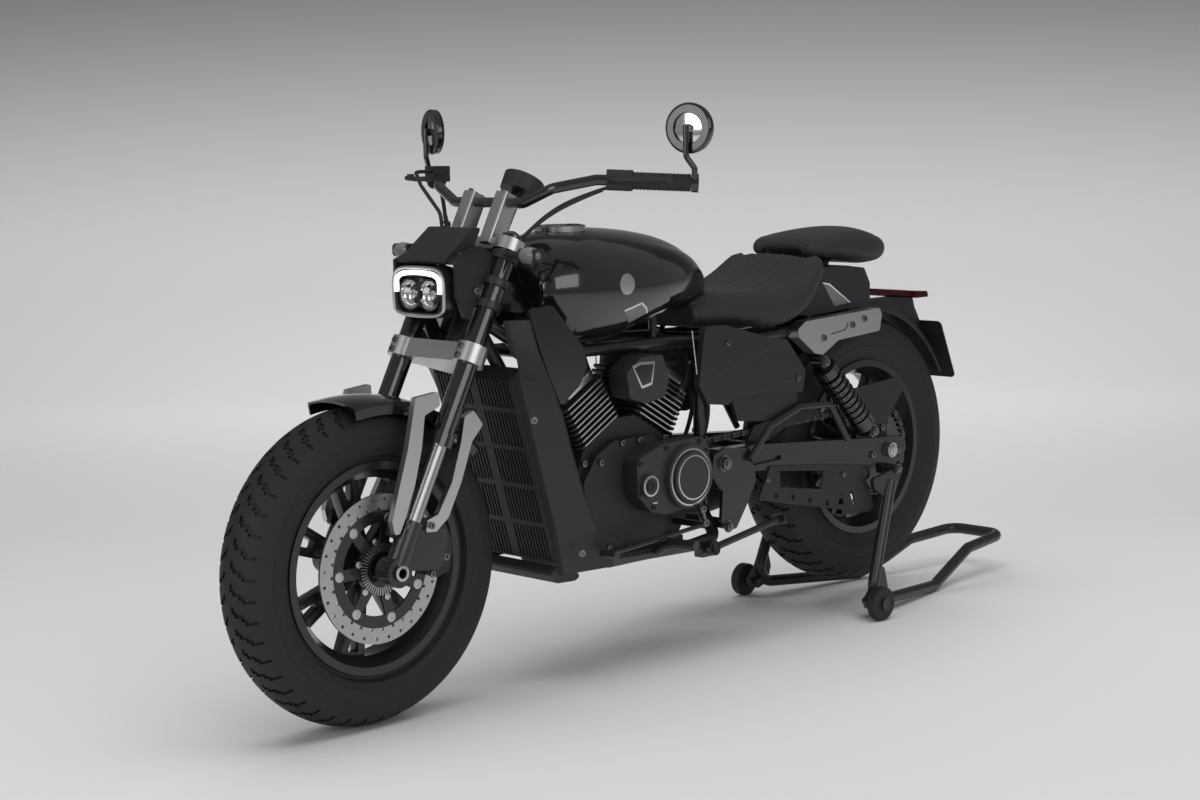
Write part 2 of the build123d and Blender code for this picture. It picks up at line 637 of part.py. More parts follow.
with BuildPart() as instrument:
    pod_plane = Plane(origin=spot(1072, 0, 1046), x_dir=(0, 1, 0), z_dir=(-sin(radians(32)), 0, cos(radians(32))))
    with BuildSketch(pod_plane) as pod:
        Circle(42)
    extrude(pod.sketch, amount=34, taper=-4)
    with BuildSketch(pod_plane.offset(34)) as glass:
        Circle(38)
    extrude(glass.sketch, amount=-4, mode=Mode.SUBTRACT)
    plate([(1068, 1052), (1092, 1046), (1140, 985), (1155.3, 955.4), (1131.3, 942.9), (1112, 976)], 14, 28)
instrument.part.label = "instrument"
export_step(instrument.part, "parts/instrument.step")

with BuildPart() as brake_hose:
    hose = [
        spot(RESERVOIR_X + 17 + SEAT_GAP, -258, 1092), spot(1136, -258, 1092), spot(1204, -160, 1066),
        spot(1229, -70, 1010), spot(1229, -58, 928),
    ]
    tube(hose, 26, 4)
brake_hose.part.label = "brake_hose"
export_step(brake_hose.part, "parts/brake_hose.step")

# ================================================================ frame and engine
ARM_INNER_Y = 112.0
ARM_OUTER_Y = 142.0
PIVOT_PLATE_Y = 151.0
FRAME_TUBE_R = 16.0
CRADLE_Y = 125.0
CRADLE_R = 14.0
RAIL_Y = 105.0
RAIL_R = 14.0
BACKBONE_HALF = 78.0
HEAD_TUBE_R = 27.0
HEAD_LOW = LOWER_CLAMP_UP + 20 + SIDE_PLAY
HEAD_HIGH = UPPER_CLAMP_UP - 12 - SIDE_PLAY

SIDE_STAND_X = 656.0
SIDE_STAND_Y = 160.0
SIDE_STAND_Z = 247.0
SIDE_STAND_TILT = 12.0
SIDE_STAND_LENGTH = 236.0
SIDE_STAND_RISE = 8.0
hinge_dir = Vector(0, cos(radians(SIDE_STAND_TILT)), sin(radians(SIDE_STAND_TILT)))
hinge_plane = Plane(
    origin=spot(SIDE_STAND_X, SIDE_STAND_Y, SIDE_STAND_Z), x_dir=(-1, 0, 0), z_dir=hinge_dir
)
SIDE_STAND_PIN_R = 6.0
SIDE_STAND_EYE_HALF = 6.0
with BuildPart() as main_frame:
    with BuildSketch(head(HEAD_LOW)) as tube_ring:
        Circle(HEAD_TUBE_R)
    extrude(tube_ring.sketch, amount=HEAD_HIGH - HEAD_LOW)
    # backbone and seat rails
    tube([
        spot(1212, 12, 800), spot(1110, BACKBONE_HALF, 712), spot(700, 84, 708), spot(560, RAIL_Y, 700),
        spot(340, RAIL_Y, 700), spot(70, RAIL_Y, 712),
    ], 60, RAIL_R)
    # cradle
    tube([
        spot(1204, 14, 770), spot(1095, 105, 480), spot(1046, CRADLE_Y, 330), spot(962, CRADLE_Y, 262),
        spot(690, CRADLE_Y, 254), spot(612, CRADLE_Y, 262), spot(600, 72, 322), spot(604, 72, 431),
        spot(610, 84, 700),
    ], 26, CRADLE_R)
    pivot = [
        (642, 452), (646, 415), (612, 370), (618, 300), (596, 276), (568, 278), (530, 330), (500, 380),
        (520, 456), (600, 464),
    ]
    plate(pivot, PIVOT_PLATE_Y, PIVOT_PLATE_Y - ARM_OUTER_Y - SEAT_GAP, 10)
    rod_y(590, 290, 120, PIVOT_PLATE_Y, 12)
    mirror(about=Plane.XZ)
    rod_y(590, 290, -CRADLE_Y, CRADLE_Y, 12)
    rod_y(560, 700, -RAIL_Y, RAIL_Y, 12)
    rod_y(PIVOT_X, PIVOT_Z, -PIVOT_PLATE_Y, PIVOT_PLATE_Y, AXLE_R)
    rod_y(1080, 712, -70, 70, 12)
    # side stand bracket and its pin
    with Locations(Pos(*spot(SIDE_STAND_X, 130, 240))):
        Box(34, 24, 30)
    eye_gap = SIDE_STAND_EYE_HALF + SIDE_PLAY
    for low, high, radius in ((-28, -eye_gap, 10), (-28, eye_gap + 3, SIDE_STAND_PIN_R), (eye_gap, eye_gap + 3, 10)):
        with BuildSketch(hinge_plane.offset(low)) as pin:
            Circle(radius)
        extrude(pin.sketch, amount=high - low)
    with BuildSketch(head(HEAD_LOW - 1)) as bore:
        Circle(STEM_R + RUNNING_GAP)
    extrude(bore.sketch, amount=HEAD_HIGH - HEAD_LOW + 2, mode=Mode.SUBTRACT)
main_frame.part.label = "main_frame"
export_step(main_frame.part, "parts/main_frame.step")

CRANK_X = 850.0
CRANK_Z = 390.0
BANK_ANGLE = 30.0
DECK = 158.0            # crank to the base of each cylinder


def deck_point(lean, across):
    """A point of the crankcase's deck under a cylinder that leans forward by lean degrees."""
    return (
        CRANK_X + DECK * sin(radians(lean)) + across * cos(radians(lean)),
        CRANK_Z + DECK * cos(radians(lean)) - across * sin(radians(lean)),
    )


with BuildPart() as crankcase:
    plate([
        (1000, 440), (985, 330), (930, 268), (700, 262), (652, 330), (650, 455), (690, 490),
        deck_point(-BANK_ANGLE, -60), deck_point(-BANK_ANGLE, 60), deck_point(BANK_ANGLE, -60),
        deck_point(BANK_ANGLE, 60),
    ], 84, 168, 6)
    plate([(985, 330), (930, 268), (762, 262), (745, 330), (745, 484), (790, 512), (905, 512), (960, 484), (1000, 430)],
          104, 208, 14)
    plate([(920, 270), (900, 228), (760, 228), (745, 270)], 70, 140, 10)
    rod_y(FRONT_SPROCKET_X, FRONT_SPROCKET_Z, 80, CHAIN_Y + 3, FRONT_SPROCKET_R)
    for x in (720, 930):
        with Locations(Pos(*spot(x, 0, 266))):
            Box(36, 2 * (CRADLE_Y - CRADLE_R - SEAT_GAP), 24)
crankcase.part.label = "crankcase"
export_step(crankcase.part, "parts/crankcase.step")

FIN_COUNT = 9
FIN_HALF = 93.0
with BuildPart() as cylinders:
    for lean in (BANK_ANGLE, -BANK_ANGLE):
        bank = Plane(
            origin=spot(CRANK_X, 0, CRANK_Z),
            x_dir=(cos(radians(lean)), 0, -sin(radians(lean))),
            z_dir=(sin(radians(lean)), 0, cos(radians(lean))),
        )
        with BuildSketch(bank.offset(DECK)) as barrel:
            RectangleRounded(104, 150, 20)
        extrude(barrel.sketch, amount=132)
        for step in range(FIN_COUNT):
            with BuildSketch(bank.offset(166 + 12 * step)) as fin:
                RectangleRounded(140, 2 * FIN_HALF, 14)
            extrude(fin.sketch, amount=4)
        with BuildSketch(bank.offset(274)) as top:
            RectangleRounded(120, 170, 18)
        extrude(top.sketch, amount=22)
cylinders.part.label = "cylinders"
export_step(cylinders.part, "parts/cylinders.step")

COVER_X = 725.0
COVER_Z = 416.0
with BuildPart() as engine_covers:
    # left cover: a flange, a domed round boss and a small cap
    cover = [(882, 470), (880, 392), (840, 352), (790, 340), (684, 350), (656, 392), (652, 470), (676, 500), (800, 496)]
    plate(cover, 148, 148 - 104 - SEAT_GAP, 16)
    rod_y(COVER_X, COVER_Z, 148, 160, 70)
    rod_y(COVER_X, COVER_Z, 160, 168, 56)
    rod_y(847, 411, 148, 156, 26)
    # right cover: the clutch
    plate(cover, -104 - SEAT_GAP, 40, 16)
    rod_y(780, 420, -166, -144, 78)
    # intake cover between the cylinders, both sides
    shield = [(910, 662), (868, 690), (800, 692), (780, 640), (794, 600), (850, 590), (902, 606)]
    plate(shield, 150, 150 - FIN_HALF - SEAT_GAP, 10)
    plate(shield, -FIN_HALF - SEAT_GAP, 150 - FIN_HALF - SEAT_GAP, 10)
engine_covers.part.label = "engine_covers"
export_step(engine_covers.part, "parts/engine_covers.step")

# ---------------------------------------------------------------- cooling
CORE_TOP = (1222.0, 690.0)
CORE_BOTTOM = (1100.0, 276.0)
WING_INNER = 122.0
CORE_HALF = WING_INNER - SEAT_GAP
CORE_DEPTH = 26.0
CORE_ROWS = 5
with BuildPart() as radiator:
    core_lean = degrees(atan2(CORE_TOP[0] - CORE_BOTTOM[0], CORE_TOP[1] - CORE_BOTTOM[1]))
    core_height = hypot(CORE_TOP[0] - CORE_BOTTOM[0], CORE_TOP[1] - CORE_BOTTOM[1])
    core_plane = Plane(
        origin=spot(CORE_BOTTOM[0], 0, CORE_BOTTOM[1]),
        x_dir=(0, 1, 0),
        z_dir=(cos(radians(core_lean)), 0, -sin(radians(core_lean))),
    )
    with BuildSketch(core_plane.offset(-CORE_DEPTH)) as block:
        with Locations((0, core_height / 2)):
            Rectangle(2 * CORE_HALF, core_height)
    extrude(block.sketch, amount=CORE_DEPTH)
    with BuildSketch(core_plane) as rows:
        with Locations((CORE_HALF / 2, core_height / 2), (-CORE_HALF / 2, core_height / 2)):
            with GridLocations(10, core_height / CORE_ROWS, 10, CORE_ROWS):
                Rectangle(5, core_height / CORE_ROWS - 10)
    extrude(rows.sketch, amount=-4, mode=Mode.SUBTRACT)
    steering_room(*CLAMP_SWEEP)
    steering_room(*LEG_SWEEP)
radiator.part.label = "radiator"
export_step(radiator.part, "parts/radiator.step")

# Wing sections from the top down: z, front lip x and y, rear edge x and y.
WING_SECTIONS = (
    (800, 1262, 152, 1226, 188),
    (735, 1234, 138, 1206, 190),
    (670, 1206, 122, 1172, 188),
    (600, 1186, 122, 1138, 186),
    (520, 1164, 122, 1110, 182),
    (420, 1136, 122, 1072, 178),
    (340, 1112, 122, 1026, 172),
    (252, 1096, 122, 962, 150),
)
WING_WALL = 10.0
with BuildPart() as radiator_shroud:
    rings = []
    for z, lip_x, lip_y, edge_x, edge_y in WING_SECTIONS:
        with BuildSketch(Plane(origin=(DATUM_X, 0, z), z_dir=(0, 0, 1))) as ring:
            with BuildLine():
                Polyline(
                    (lip_x, lip_y), (lip_x - 4, lip_y + 12), (edge_x, edge_y),
                    (edge_x - WING_WALL, edge_y - 6), (lip_x - 26, lip_y), close=True,
                )
            make_face()
        rings.append(ring.sketch)
    loft(rings, ruled=True)
    rod_y(1076, 420, 128.4, 160, 8)
    mirror(about=Plane.XZ)
    plate([(1098, 270), (1122, 256), (1100, 234), (1050, 232), (1030, 240), (1060, 258)], 124, 248, 6)
    steering_room(*CLAMP_SWEEP)
    steering_room(*LEG_SWEEP)
radiator_shroud.part.label = "radiator_shroud"
export_step(radiator_shroud.part, "parts/radiator_shroud.step")

with BuildPart() as side_fairings:
    outline = [
        (1212, 812), (1190, 822), (1146, 824), (1060, 730), (1052, 690), (1076, 652), (1128, 616), (1160, 680),
        (1186, 740),
    ]
    plate(outline, 176, 14, 8)
    plate([(1180, 800), (1150, 800), (1090, 735), (1090, 690), (1150, 690)], 162, 50, 6)
    rod_y(1072, 711.6, BACKBONE_HALF + RAIL_R + 0.6 + SEAT_GAP, 165, 9)
    mirror(about=Plane.XZ)
    steering_room(*CLAMP_SWEEP)
    steering_room(*LEG_SWEEP)
    steering_room(*HEADLIGHT_SWEEP)
side_fairings.part.label = "side_fairings"
export_step(side_fairings.part, "parts/side_fairings.step")

# ---------------------------------------------------------------- tank
TANK_SECTIONS = (
    (1112, 55, 800, 104, 850, 60, 890, 902),
    (1060, 80, 752, 142, 840, 92, 932, 950),
    (960, 88, 738, 156, 840, 100, 946, 968),
    (840, 85, 748, 152, 850, 95, 940, 964),
    (700, 70, 775, 128, 855, 80, 918, 942),
    (610, 55, 790, 92, 845, 58, 888, 904),
    (566, 40, 796, 62, 825, 42, 848, 856),
)
TANK_LUG_R = 9.0
TANK_LUG_OUTER = 83.1 + TANK_LUG_R
tank_body = crowned_loft(TANK_SECTIONS)
with BuildPart() as fuel_tank:
    add(tank_body)
    for x, rail_y, rail_z in ((960, 80.2, 710.6), (760, 83.1, 708.6)):
        foot_z = rail_z + RAIL_R + SEAT_GAP
        with Locations(Pos(*spot(x, rail_y, foot_z)), Pos(*spot(x, -rail_y, foot_z))):
            Cylinder(TANK_LUG_R, 70, align=(Align.CENTER, Align.CENTER, Align.MIN))
fuel_tank.part.label = "fuel_tank"
export_step(fuel_tank.part, "parts/fuel_tank.step")

with BuildPart() as fuel_cap:
    with BuildSketch(Plane(origin=spot(955, 0, 940), x_dir=(1, 0, 0), z_dir=(0, 0, 1))) as cap:
        Circle(56)
    extrude(cap.sketch, amount=34)
    fillet(fuel_cap.edges().sort_by(Axis.Z)[-1], 2)
    add(crowned_loft(TANK_SECTIONS, SEAT_GAP), mode=Mode.SUBTRACT)
fuel_cap.part.label = "fuel_cap"
export_step(fuel_cap.part, "parts/fuel_cap.step")

PANEL_WALL = 8.0
PANEL_OUTLINE = [
    (1072, 914), (1112, 862), (1132, 828), (1040, 727), (946, 724), (912, 736), (836, 770),
    (760, 810), (800, 850), (868, 884), (920, 910),
]
with BuildPart() as tank_panels:
    plate(PANEL_OUTLINE, 190, 190 - TANK_LUG_OUTER - SEAT_GAP - 2, 10)
    add(crowned_loft(TANK_SECTIONS, PANEL_WALL), mode=Mode.INTERSECT)
    add(crowned_loft(TANK_SECTIONS, SEAT_GAP), mode=Mode.SUBTRACT)
    mirror(about=Plane.XZ)
tank_panels.part.label = "tank_panels"
export_step(tank_panels.part, "parts/tank_panels.step")

# ---------------------------------------------------------------- seats
RIDER_SECTIONS = (
    (650, 85, 745, 108, 770, 92, 788, 796),
    (560, 100, 735, 134, 768, 104, 794, 806),
    (450, 115, 728, 158, 768, 116, 800, 806),
    (350, 120, 740, 170, 780, 120, 820, 832),
    (285, 112, 790, 162, 826, 112, 856, 866),
    (240, 100, 838, 140, 856, 96, 872, 880),
)
with BuildPart() as rider_seat:
    add(crowned_loft(RIDER_SECTIONS))
    for x, y, rail_top in ((540, 98, 714), (400, 98, 714)):
        with Locations(Pos(*spot(x, y, rail_top + SEAT_GAP)), Pos(*spot(x, -y, rail_top + SEAT_GAP))):
            Cylinder(9, 40, align=(Align.CENTER, Align.CENTER, Align.MIN))
    add(crowned_loft(TANK_SECTIONS, 3.0), mode=Mode.SUBTRACT)
rider_seat.part.label = "rider_seat"
export_step(rider_seat.part, "parts/rider_seat.step")

PILLION_SECTIONS = (
    (236, 60, 883, 92, 890, 66, 896, 900),
    (190, 82, 876, 114, 888, 88, 904, 912),
    (60, 86, 852, 123, 884, 94, 914, 926),
    (-24, 76, 847, 108, 880, 80, 906, 918),
    (-76, 40, 862, 60, 880, 44, 894, 900),
)
TAIL_TOP_Z = 843.0
with BuildPart() as pillion_seat:
    add(crowned_loft(PILLION_SECTIONS))
    with Locations(*(Pos(*spot(x, y, TAIL_TOP_Z + SEAT_GAP)) for x in (196, 136) for y in (-56, 56))):
        Cylinder(10, 50, align=(Align.CENTER, Align.CENTER, Align.MIN))
pillion_seat.part.label = "pillion_seat"
export_step(pillion_seat.part, "parts/pillion_seat.step")

# ---------------------------------------------------------------- side covers and tail
with BuildPart() as side_covers:
    upper = [
        (672, 742), (600, 740), (470, 704), (396, 692), (332, 616), (342, 566), (560, 580), (600, 562), (665, 570),
        (694, 614),
    ]
    plate(upper, 158, 16, 8)
    plate([(586, 586), (350, 586), (356, 520), (420, 506), (558, 520)], 150, 12, 6)
    plate([(650, 720), (620, 720), (420, 680), (420, 600), (650, 600)], 142, 142 - RAIL_Y - RAIL_R - SEAT_GAP, 6)
    mirror(about=Plane.XZ)
side_covers.part.label = "side_covers"
export_step(side_covers.part, "parts/side_covers.step")

with BuildPart() as tail_cover:
    plate([(30, 744), (30, 796), (52, 834), (120, TAIL_TOP_Z), (216, TAIL_TOP_Z), (322, 742), (250, 732)], 108, 216, 10)
    for x, rail_top in ((250, 718), (96, 724.9)):
        with Locations(Pos(*spot(x, 98, rail_top + 0.7)), Pos(*spot(x, -98, rail_top + 0.7))):
            Cylinder(8, 40, align=(Align.CENTER, Align.CENTER, Align.MIN))
tail_cover.part.label = "tail_cover"
export_step(tail_cover.part, "parts/tail_cover.step")

with BuildPart() as tail_brackets:
    plate([(352, 710), (323, 727), (49, 739), (40, 722), (49, 684), (204, 674), (262, 644.5), (290, 650), (345, 690)],
          152, 152 - RAIL_Y - RAIL_R - SEAT_GAP, 8)
    mirror(about=Plane.XZ)
tail_brackets.part.label = "tail_brackets"
export_step(tail_brackets.part, "parts/tail_brackets.step")

REAR_FENDER_R = 350.0
with BuildPart() as rear_fender:
    with BuildSketch(wheel_section(REAR_X, REAR_AXLE_Z)) as section:
        with BuildLine():
            Polyline(
                (-74, 334), (-66, 346), (66, 346), (74, 334), (77, 337), (68, 350), (-68, 350), (-77, 337), close=True,
            )
        make_face()
    revolve(section.sketch, axis=axle_line(REAR_X, REAR_AXLE_Z), revolution_arc=130)
rear_fender.part = rear_fender.part.rotate(axle_line(REAR_X, REAR_AXLE_Z), -62)
with BuildPart() as fender_tail:
    plate([(-60, 742), (-250, 742), (-258, 716), (-284, 672), (-278, 664), (-236, 656), (-150, 702), (-60, 731)], 22, 44)
    with BuildSketch(Plane(origin=spot(-280, 0, 668), x_dir=(0, 1, 0), z_dir=(-0.92, 0, 0.39))) as sheet:
        with Locations((0, 70)):
            RectangleRounded(180, 160, 12)
    extrude(sheet.sketch, amount=3)
    for x, z in ((150, 706), (92, 711)):
        rod_y(x, z, 66, RAIL_Y - RAIL_R - SEAT_GAP, 8)
        rod_y(x, z, -RAIL_Y + RAIL_R + SEAT_GAP, -66, 8)
rear_fender.part = rear_fender.part + fender_tail.part
rear_fender.part.label = "rear_fender"
export_step(rear_fender.part, "parts/rear_fender.step")

with BuildPart() as tail_lamp:
    plate([(-190, 742.3), (-196, 760), (-240, 757), (-246, 742.3)], 76, 152, 4)
tail_lamp.part.label = "tail_lamp"
export_step(tail_lamp.part, "parts/tail_lamp.step")

# ---------------------------------------------------------------- swingarm
SHOCK_LOW = (REAR_X + 82.0, 446.0)
SHOCK_HIGH = (262.0, 628.0)
SHOCK_Y = 142.0
ARM_SLOT_DEPTH = 8.0
SPOOL_X = 5.0           # the stand's spools ahead of the rear axle
SPOOL_Z = 345.0
SPOOL_R = 11.0
with BuildPart() as swingarm:
    arm_front = [(433, 394), (560, 402), (618, 405), (632, 440), (622, 462), (484, 458)]
    arm_rear = trail([(160, 432), (-53, 416), (-60, 385), (-53, 355), (160, 366)])
    plate(arm_front + arm_rear, ARM_OUTER_Y, ARM_OUTER_Y - ARM_INNER_Y, 8)
    with BuildSketch(side(ARM_OUTER_Y)) as slot:
        with BuildLine():
            Polyline((505, 411), (505, 428), (402, 424), (402, 414), close=True)
        make_face()
        fillet(slot.vertices(), 4)
    extrude(slot.sketch, amount=ARM_SLOT_DEPTH, mode=Mode.SUBTRACT)
    plate(trail([(60, 420), (70, 452), (94, 452), (112, 425)]), 126, 14, 4)
    rod_y(SHOCK_LOW[0], SHOCK_LOW[1], 126, 158, 6)
    plate(trail([(-22, 360), (-10, 332), (24, 332), (34, 362)]), ARM_OUTER_Y, 20, 6)
    rod_y(REAR_X + SPOOL_X, SPOOL_Z, ARM_OUTER_Y, 172, SPOOL_R)
    mirror(about=Plane.XZ)
    rod_y(432, 428, -ARM_INNER_Y, ARM_INNER_Y, 24)
    rod_y(PIVOT_X, PIVOT_Z, -ARM_OUTER_Y - 1, ARM_OUTER_Y + 1, AXLE_R + SEAT_GAP, mode=Mode.SUBTRACT)
    rod_y(REAR_X, REAR_AXLE_Z, -ARM_OUTER_Y - 1, ARM_OUTER_Y + 1, AXLE_R + SEAT_GAP, mode=Mode.SUBTRACT)
swingarm.part.label = "swingarm"
export_step(swingarm.part, "parts/swingarm.step")

with BuildPart() as rear_axle:
    rod_y(REAR_X, REAR_AXLE_Z, -152, 154, AXLE_R)
    rod_y(REAR_X, REAR_AXLE_Z, CHAIN_Y + 3 + SIDE_PLAY, ARM_INNER_Y - SEAT_GAP, 15)
    rod_y(REAR_X, REAR_AXLE_Z, -ARM_INNER_Y + SEAT_GAP, REAR_DISC_Y - DISC_HALF - SIDE_PLAY, 15)
    for low, high in ((ARM_OUTER_Y + SEAT_GAP, 153), (-153, -ARM_OUTER_Y - SEAT_GAP)):
        with BuildSketch(wheel_side(REAR_X, REAR_AXLE_Z, low)) as nut:
            RegularPolygon(17, 6)
        extrude(nut.sketch, amount=high - low)
rear_axle.part.label = "rear_axle"
export_step(rear_axle.part, "parts/rear_axle.step")

SHOCK_COILS = 9
with BuildPart() as rear_shocks:
    shock_lean = atan2(SHOCK_HIGH[0] - SHOCK_LOW[0], SHOCK_HIGH[1] - SHOCK_LOW[1])
    shock_length = hypot(SHOCK_HIGH[0] - SHOCK_LOW[0], SHOCK_HIGH[1] - SHOCK_LOW[1])
    along = Plane(
        origin=spot(SHOCK_LOW[0], SHOCK_Y, SHOCK_LOW[1]), x_dir=(0, 1, 0), z_dir=(sin(shock_lean), 0, cos(shock_lean))
    )
    for up, length, radius in ((6, shock_length - 12, 13), (20, 26, 27), (shock_length - 44, 24, 29)):
        with BuildSketch(along.offset(up)) as ring:
            Circle(radius)
        extrude(ring.sketch, amount=length)
    for coil in range(SHOCK_COILS):
        with BuildSketch(along.offset(46 + coil * 18.5)) as ring:
            Circle(29)
        extrude(ring.sketch, amount=9)
    for x, z in (SHOCK_LOW, SHOCK_HIGH):
        rod_y(x, z, SHOCK_Y - 15, SHOCK_Y + 15, 16)
        rod_y(x, z, SHOCK_Y - 16, SHOCK_Y + 16, 6 + SEAT_GAP, mode=Mode.SUBTRACT)
    mirror(about=Plane.XZ)
rear_shocks.part.label = "rear_shocks"
export_step(rear_shocks.part, "parts/rear_shocks.step")

GUARD_Y = ARM_INNER_Y - SEAT_GAP
GUARD_WALL = 4.0
GUARD_HOLE_R = 7.0
GUARD_HOLES = ((426, 332), (366, 321), (305, 306), (242, 290.5))
GUARD_WINDOWS = (
    ((412, 388), (256, 370), (262, 326), (410, 350)),
    ((202, 282), (178, 278), (190, 312)),
    ((158, 308), (148, 306), (136, 272), (146, 274)),
)
with BuildPart() as chain_guards:
    hugger = trail([(108, 545), (-76, 558), (-107, 538), (-30, 452), (-30, 408), (20, 408), (30, 452)])
    plate(hugger, GUARD_Y, GUARD_WALL, 4)
    run_guard = [
        (495, 436), (492, 454), (460, 496), (353, 509), (253, 529), (237, 532), (229, 496), (353, 480),
        (399, 460), (432, 457), (452, 449), (464, 436),
    ]
    plate(run_guard, GUARD_Y, GUARD_WALL, 3)
    lower_face = ARM_OUTER_Y + SEAT_GAP + GUARD_WALL
    lower_rear = trail([(80, 246), (66, 262), (112, 366)])
    plate([(250, 384), (445, 404), (487, 330), (300, 290)] + lower_rear, lower_face, GUARD_WALL, 6)
    with BuildSketch(side(lower_face)) as cuts:
        for window in GUARD_WINDOWS:
            with BuildLine():
                Polyline(*window, close=True)
            make_face()
        with Locations(*GUARD_HOLES):
            Circle(GUARD_HOLE_R)
    extrude(cuts.sketch, amount=GUARD_WALL, mode=Mode.SUBTRACT)
chain_guards.part.label = "chain_guards"
export_step(chain_guards.part, "parts/chain_guards.step")

with BuildPart() as rear_calliper:
    body = trail([(-110, 400), (-128, 440), (-100, 480), (-60, 488), (-52, 440), (-70, 400)])
    outer_face = REAR_DISC_Y - DISC_HALF - PAD_GAP
    inner_face = REAR_DISC_Y + DISC_HALF + PAD_GAP
    plate(body, outer_face, 13, 8)
    plate(body, inner_face + 14, 14, 8)
    bridge = trail([(-128, 410), (-138, 440), (-108, 488), (-84, 492), (-98, 478), (-118, 444), (-123, 410)])
    plate(bridge, inner_face + 14, inner_face - outer_face + 27)
    carrier = trail([(-60, 380), (-60, 440), (-20, 430), (20, 412), (20, 366), (-30, 360)])
    plate(carrier, outer_face - 3, 10, 6)
    rod_y(REAR_X, REAR_AXLE_Z, -112, -93, 15 + SEAT_GAP, mode=Mode.SUBTRACT)
rear_calliper.part.label = "rear_calliper"
export_step(rear_calliper.part, "parts/rear_calliper.step")

# ---------------------------------------------------------------- rests, controls and exhaust
with BuildPart() as foot_controls:
    # rider rests on both cradle tubes
    tube([
        spot(815, CRADLE_Y + CRADLE_R + SEAT_GAP, 262), spot(815, 160, 276), spot(812, 190, 284),
        spot(808, 250, 286),
    ], 14, 11)
    # gear pedal on the left, brake pedal on the right, each with its rod and shaft
    rod_y(700, 306, 84 + SEAT_GAP, 174, 7)
    tube([spot(700, 168, 306), spot(960, 172, 288), spot(1012, 176, 292)], 60, 5)
    rod_y(1012, 292, 170, 214, 9)
    # pillion rests, folded up
    tube([
        spot(530, PIVOT_PLATE_Y + SEAT_GAP + 8, 430), spot(460, 160, 500), spot(355, 160, 532),
        spot(262, 172, 530), spot(200, 174, 440),
    ], 20, 8)
    mirror(about=Plane.XZ)
foot_controls.part.label = "foot_controls"
export_step(foot_controls.part, "parts/foot_controls.step")

with BuildPart() as exhaust:
    tube([
        spot(1041.3, -50, 580.8), spot(1069, -50, 564.8), spot(1036, -66, 330), spot(985, -80, 232),
        spot(890, -112, 222), spot(600, -194, 236), spot(480, -206, 262),
    ], 34, 18)
    tube([spot(485, -206, 262), spot(190, -206, 296)], 0, 50)
exhaust.part.label = "exhaust"
export_step(exhaust.part, "parts/exhaust.step")

# ================================================================ stands
STAND_WHEEL_R = 40.0
STAND_WHEEL_X = 130.0
STAND_WHEEL_IN = 205.0
STAND_WHEEL_OUT = 229.0
STAND_PIN_R = 8.0
with BuildPart() as paddock_stand:
    half_run = [
        (22, 164, 318), (STAND_WHEEL_X - 2, 184, 36), (-210, 120, STAND_TUBE_R), (-300, 104, 44),
        (-390, 94, 80), (-STAND_HANDLE_REACH, 78, 90),
    ]
    near = [spot(REAR_X + x, y, z) for x, y, z in half_run]
    far = [spot(REAR_X + x, -y, z) for x, y, z in reversed(half_run)]
    tube(near + far, 40, STAND_TUBE_R)
    for s in (1, -1):
        low, high = sorted((s * 166, s * (STAND_WHEEL_OUT + 4)))
        rod_y(REAR_X + STAND_WHEEL_X, STAND_WHEEL_R, low, high, STAND_PIN_R)
        low, high = sorted((s * (STAND_WHEEL_OUT + SIDE_PLAY), s * (STAND_WHEEL_OUT + 6)))
        rod_y(REAR_X + STAND_WHEEL_X, STAND_WHEEL_R, low, high, 14)
    lug = trail([(154, 46), (146, 26), (118, 20), (84, 30), (70, 70), (84, 120), (104, 116), (122, 78)])
    plate(lug, 192, 12, 6)
    plate(lug, -180, 12, 6)
    hook = trail([(-26, 352), (96, 330), (90, 306), (50, 280), (10, 285)])
    plate(hook, 168, 10, 6)
    plate(hook, -158, 10, 6)
    for s in (1, -1):
        low, high = sorted((s * 150, s * 180))
        rod_y(REAR_X + SPOOL_X, SPOOL_Z, low, high, SPOOL_R + SEAT_GAP, mode=Mode.SUBTRACT)
paddock_stand.part.label = "paddock_stand"
export_step(paddock_stand.part, "parts/paddock_stand.step")

for name, s in (("stand_wheel_left", 1), ("stand_wheel_right", -1)):
    low, high = sorted((s * STAND_WHEEL_IN, s * STAND_WHEEL_OUT))
    with BuildPart() as stand_wheel:
        rod_y(REAR_X + STAND_WHEEL_X, STAND_WHEEL_R, low, high, STAND_WHEEL_R)
        chamfer(stand_wheel.edges().filter_by(GeomType.CIRCLE), 3)
        rod_y(REAR_X + STAND_WHEEL_X, STAND_WHEEL_R, low - 1, high + 1, STAND_PIN_R + RUNNING_GAP, mode=Mode.SUBTRACT)
    stand_wheel.part.label = name
    export_step(stand_wheel.part, f"parts/{name}.step")

with BuildPart() as side_stand:
    with BuildSketch(hinge_plane.offset(-SIDE_STAND_EYE_HALF)) as eye:
        Circle(17)
        Circle(SIDE_STAND_PIN_R + RUNNING_GAP, mode=Mode.SUBTRACT)
    extrude(eye.sketch, amount=2 * SIDE_STAND_EYE_HALF)
    hinge_axis = Axis((0, 0, 0), (hinge_dir.X, hinge_dir.Y, hinge_dir.Z))
    leg_dir = Vector(-1, 0, 0).rotate(hinge_axis, SIDE_STAND_RISE)
    leg_start = hinge_plane.origin + leg_dir * 14
    leg_end = hinge_plane.origin + leg_dir * SIDE_STAND_LENGTH
    tube([leg_start, leg_end], 0, 8)
    foot_plane = Plane(origin=leg_end - leg_dir * 4, x_dir=hinge_dir, z_dir=leg_dir)
    with BuildSketch(foot_plane) as foot:
        RectangleRounded(36, 30, 8)
    extrude(foot.sketch, amount=6)
side_stand.part.label = "side_stand"
export_step(side_stand.part, "parts/side_stand.step")
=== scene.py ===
from math import atan2, cos, pi, radians, sin

import bpy
from mathutils import Matrix, Vector


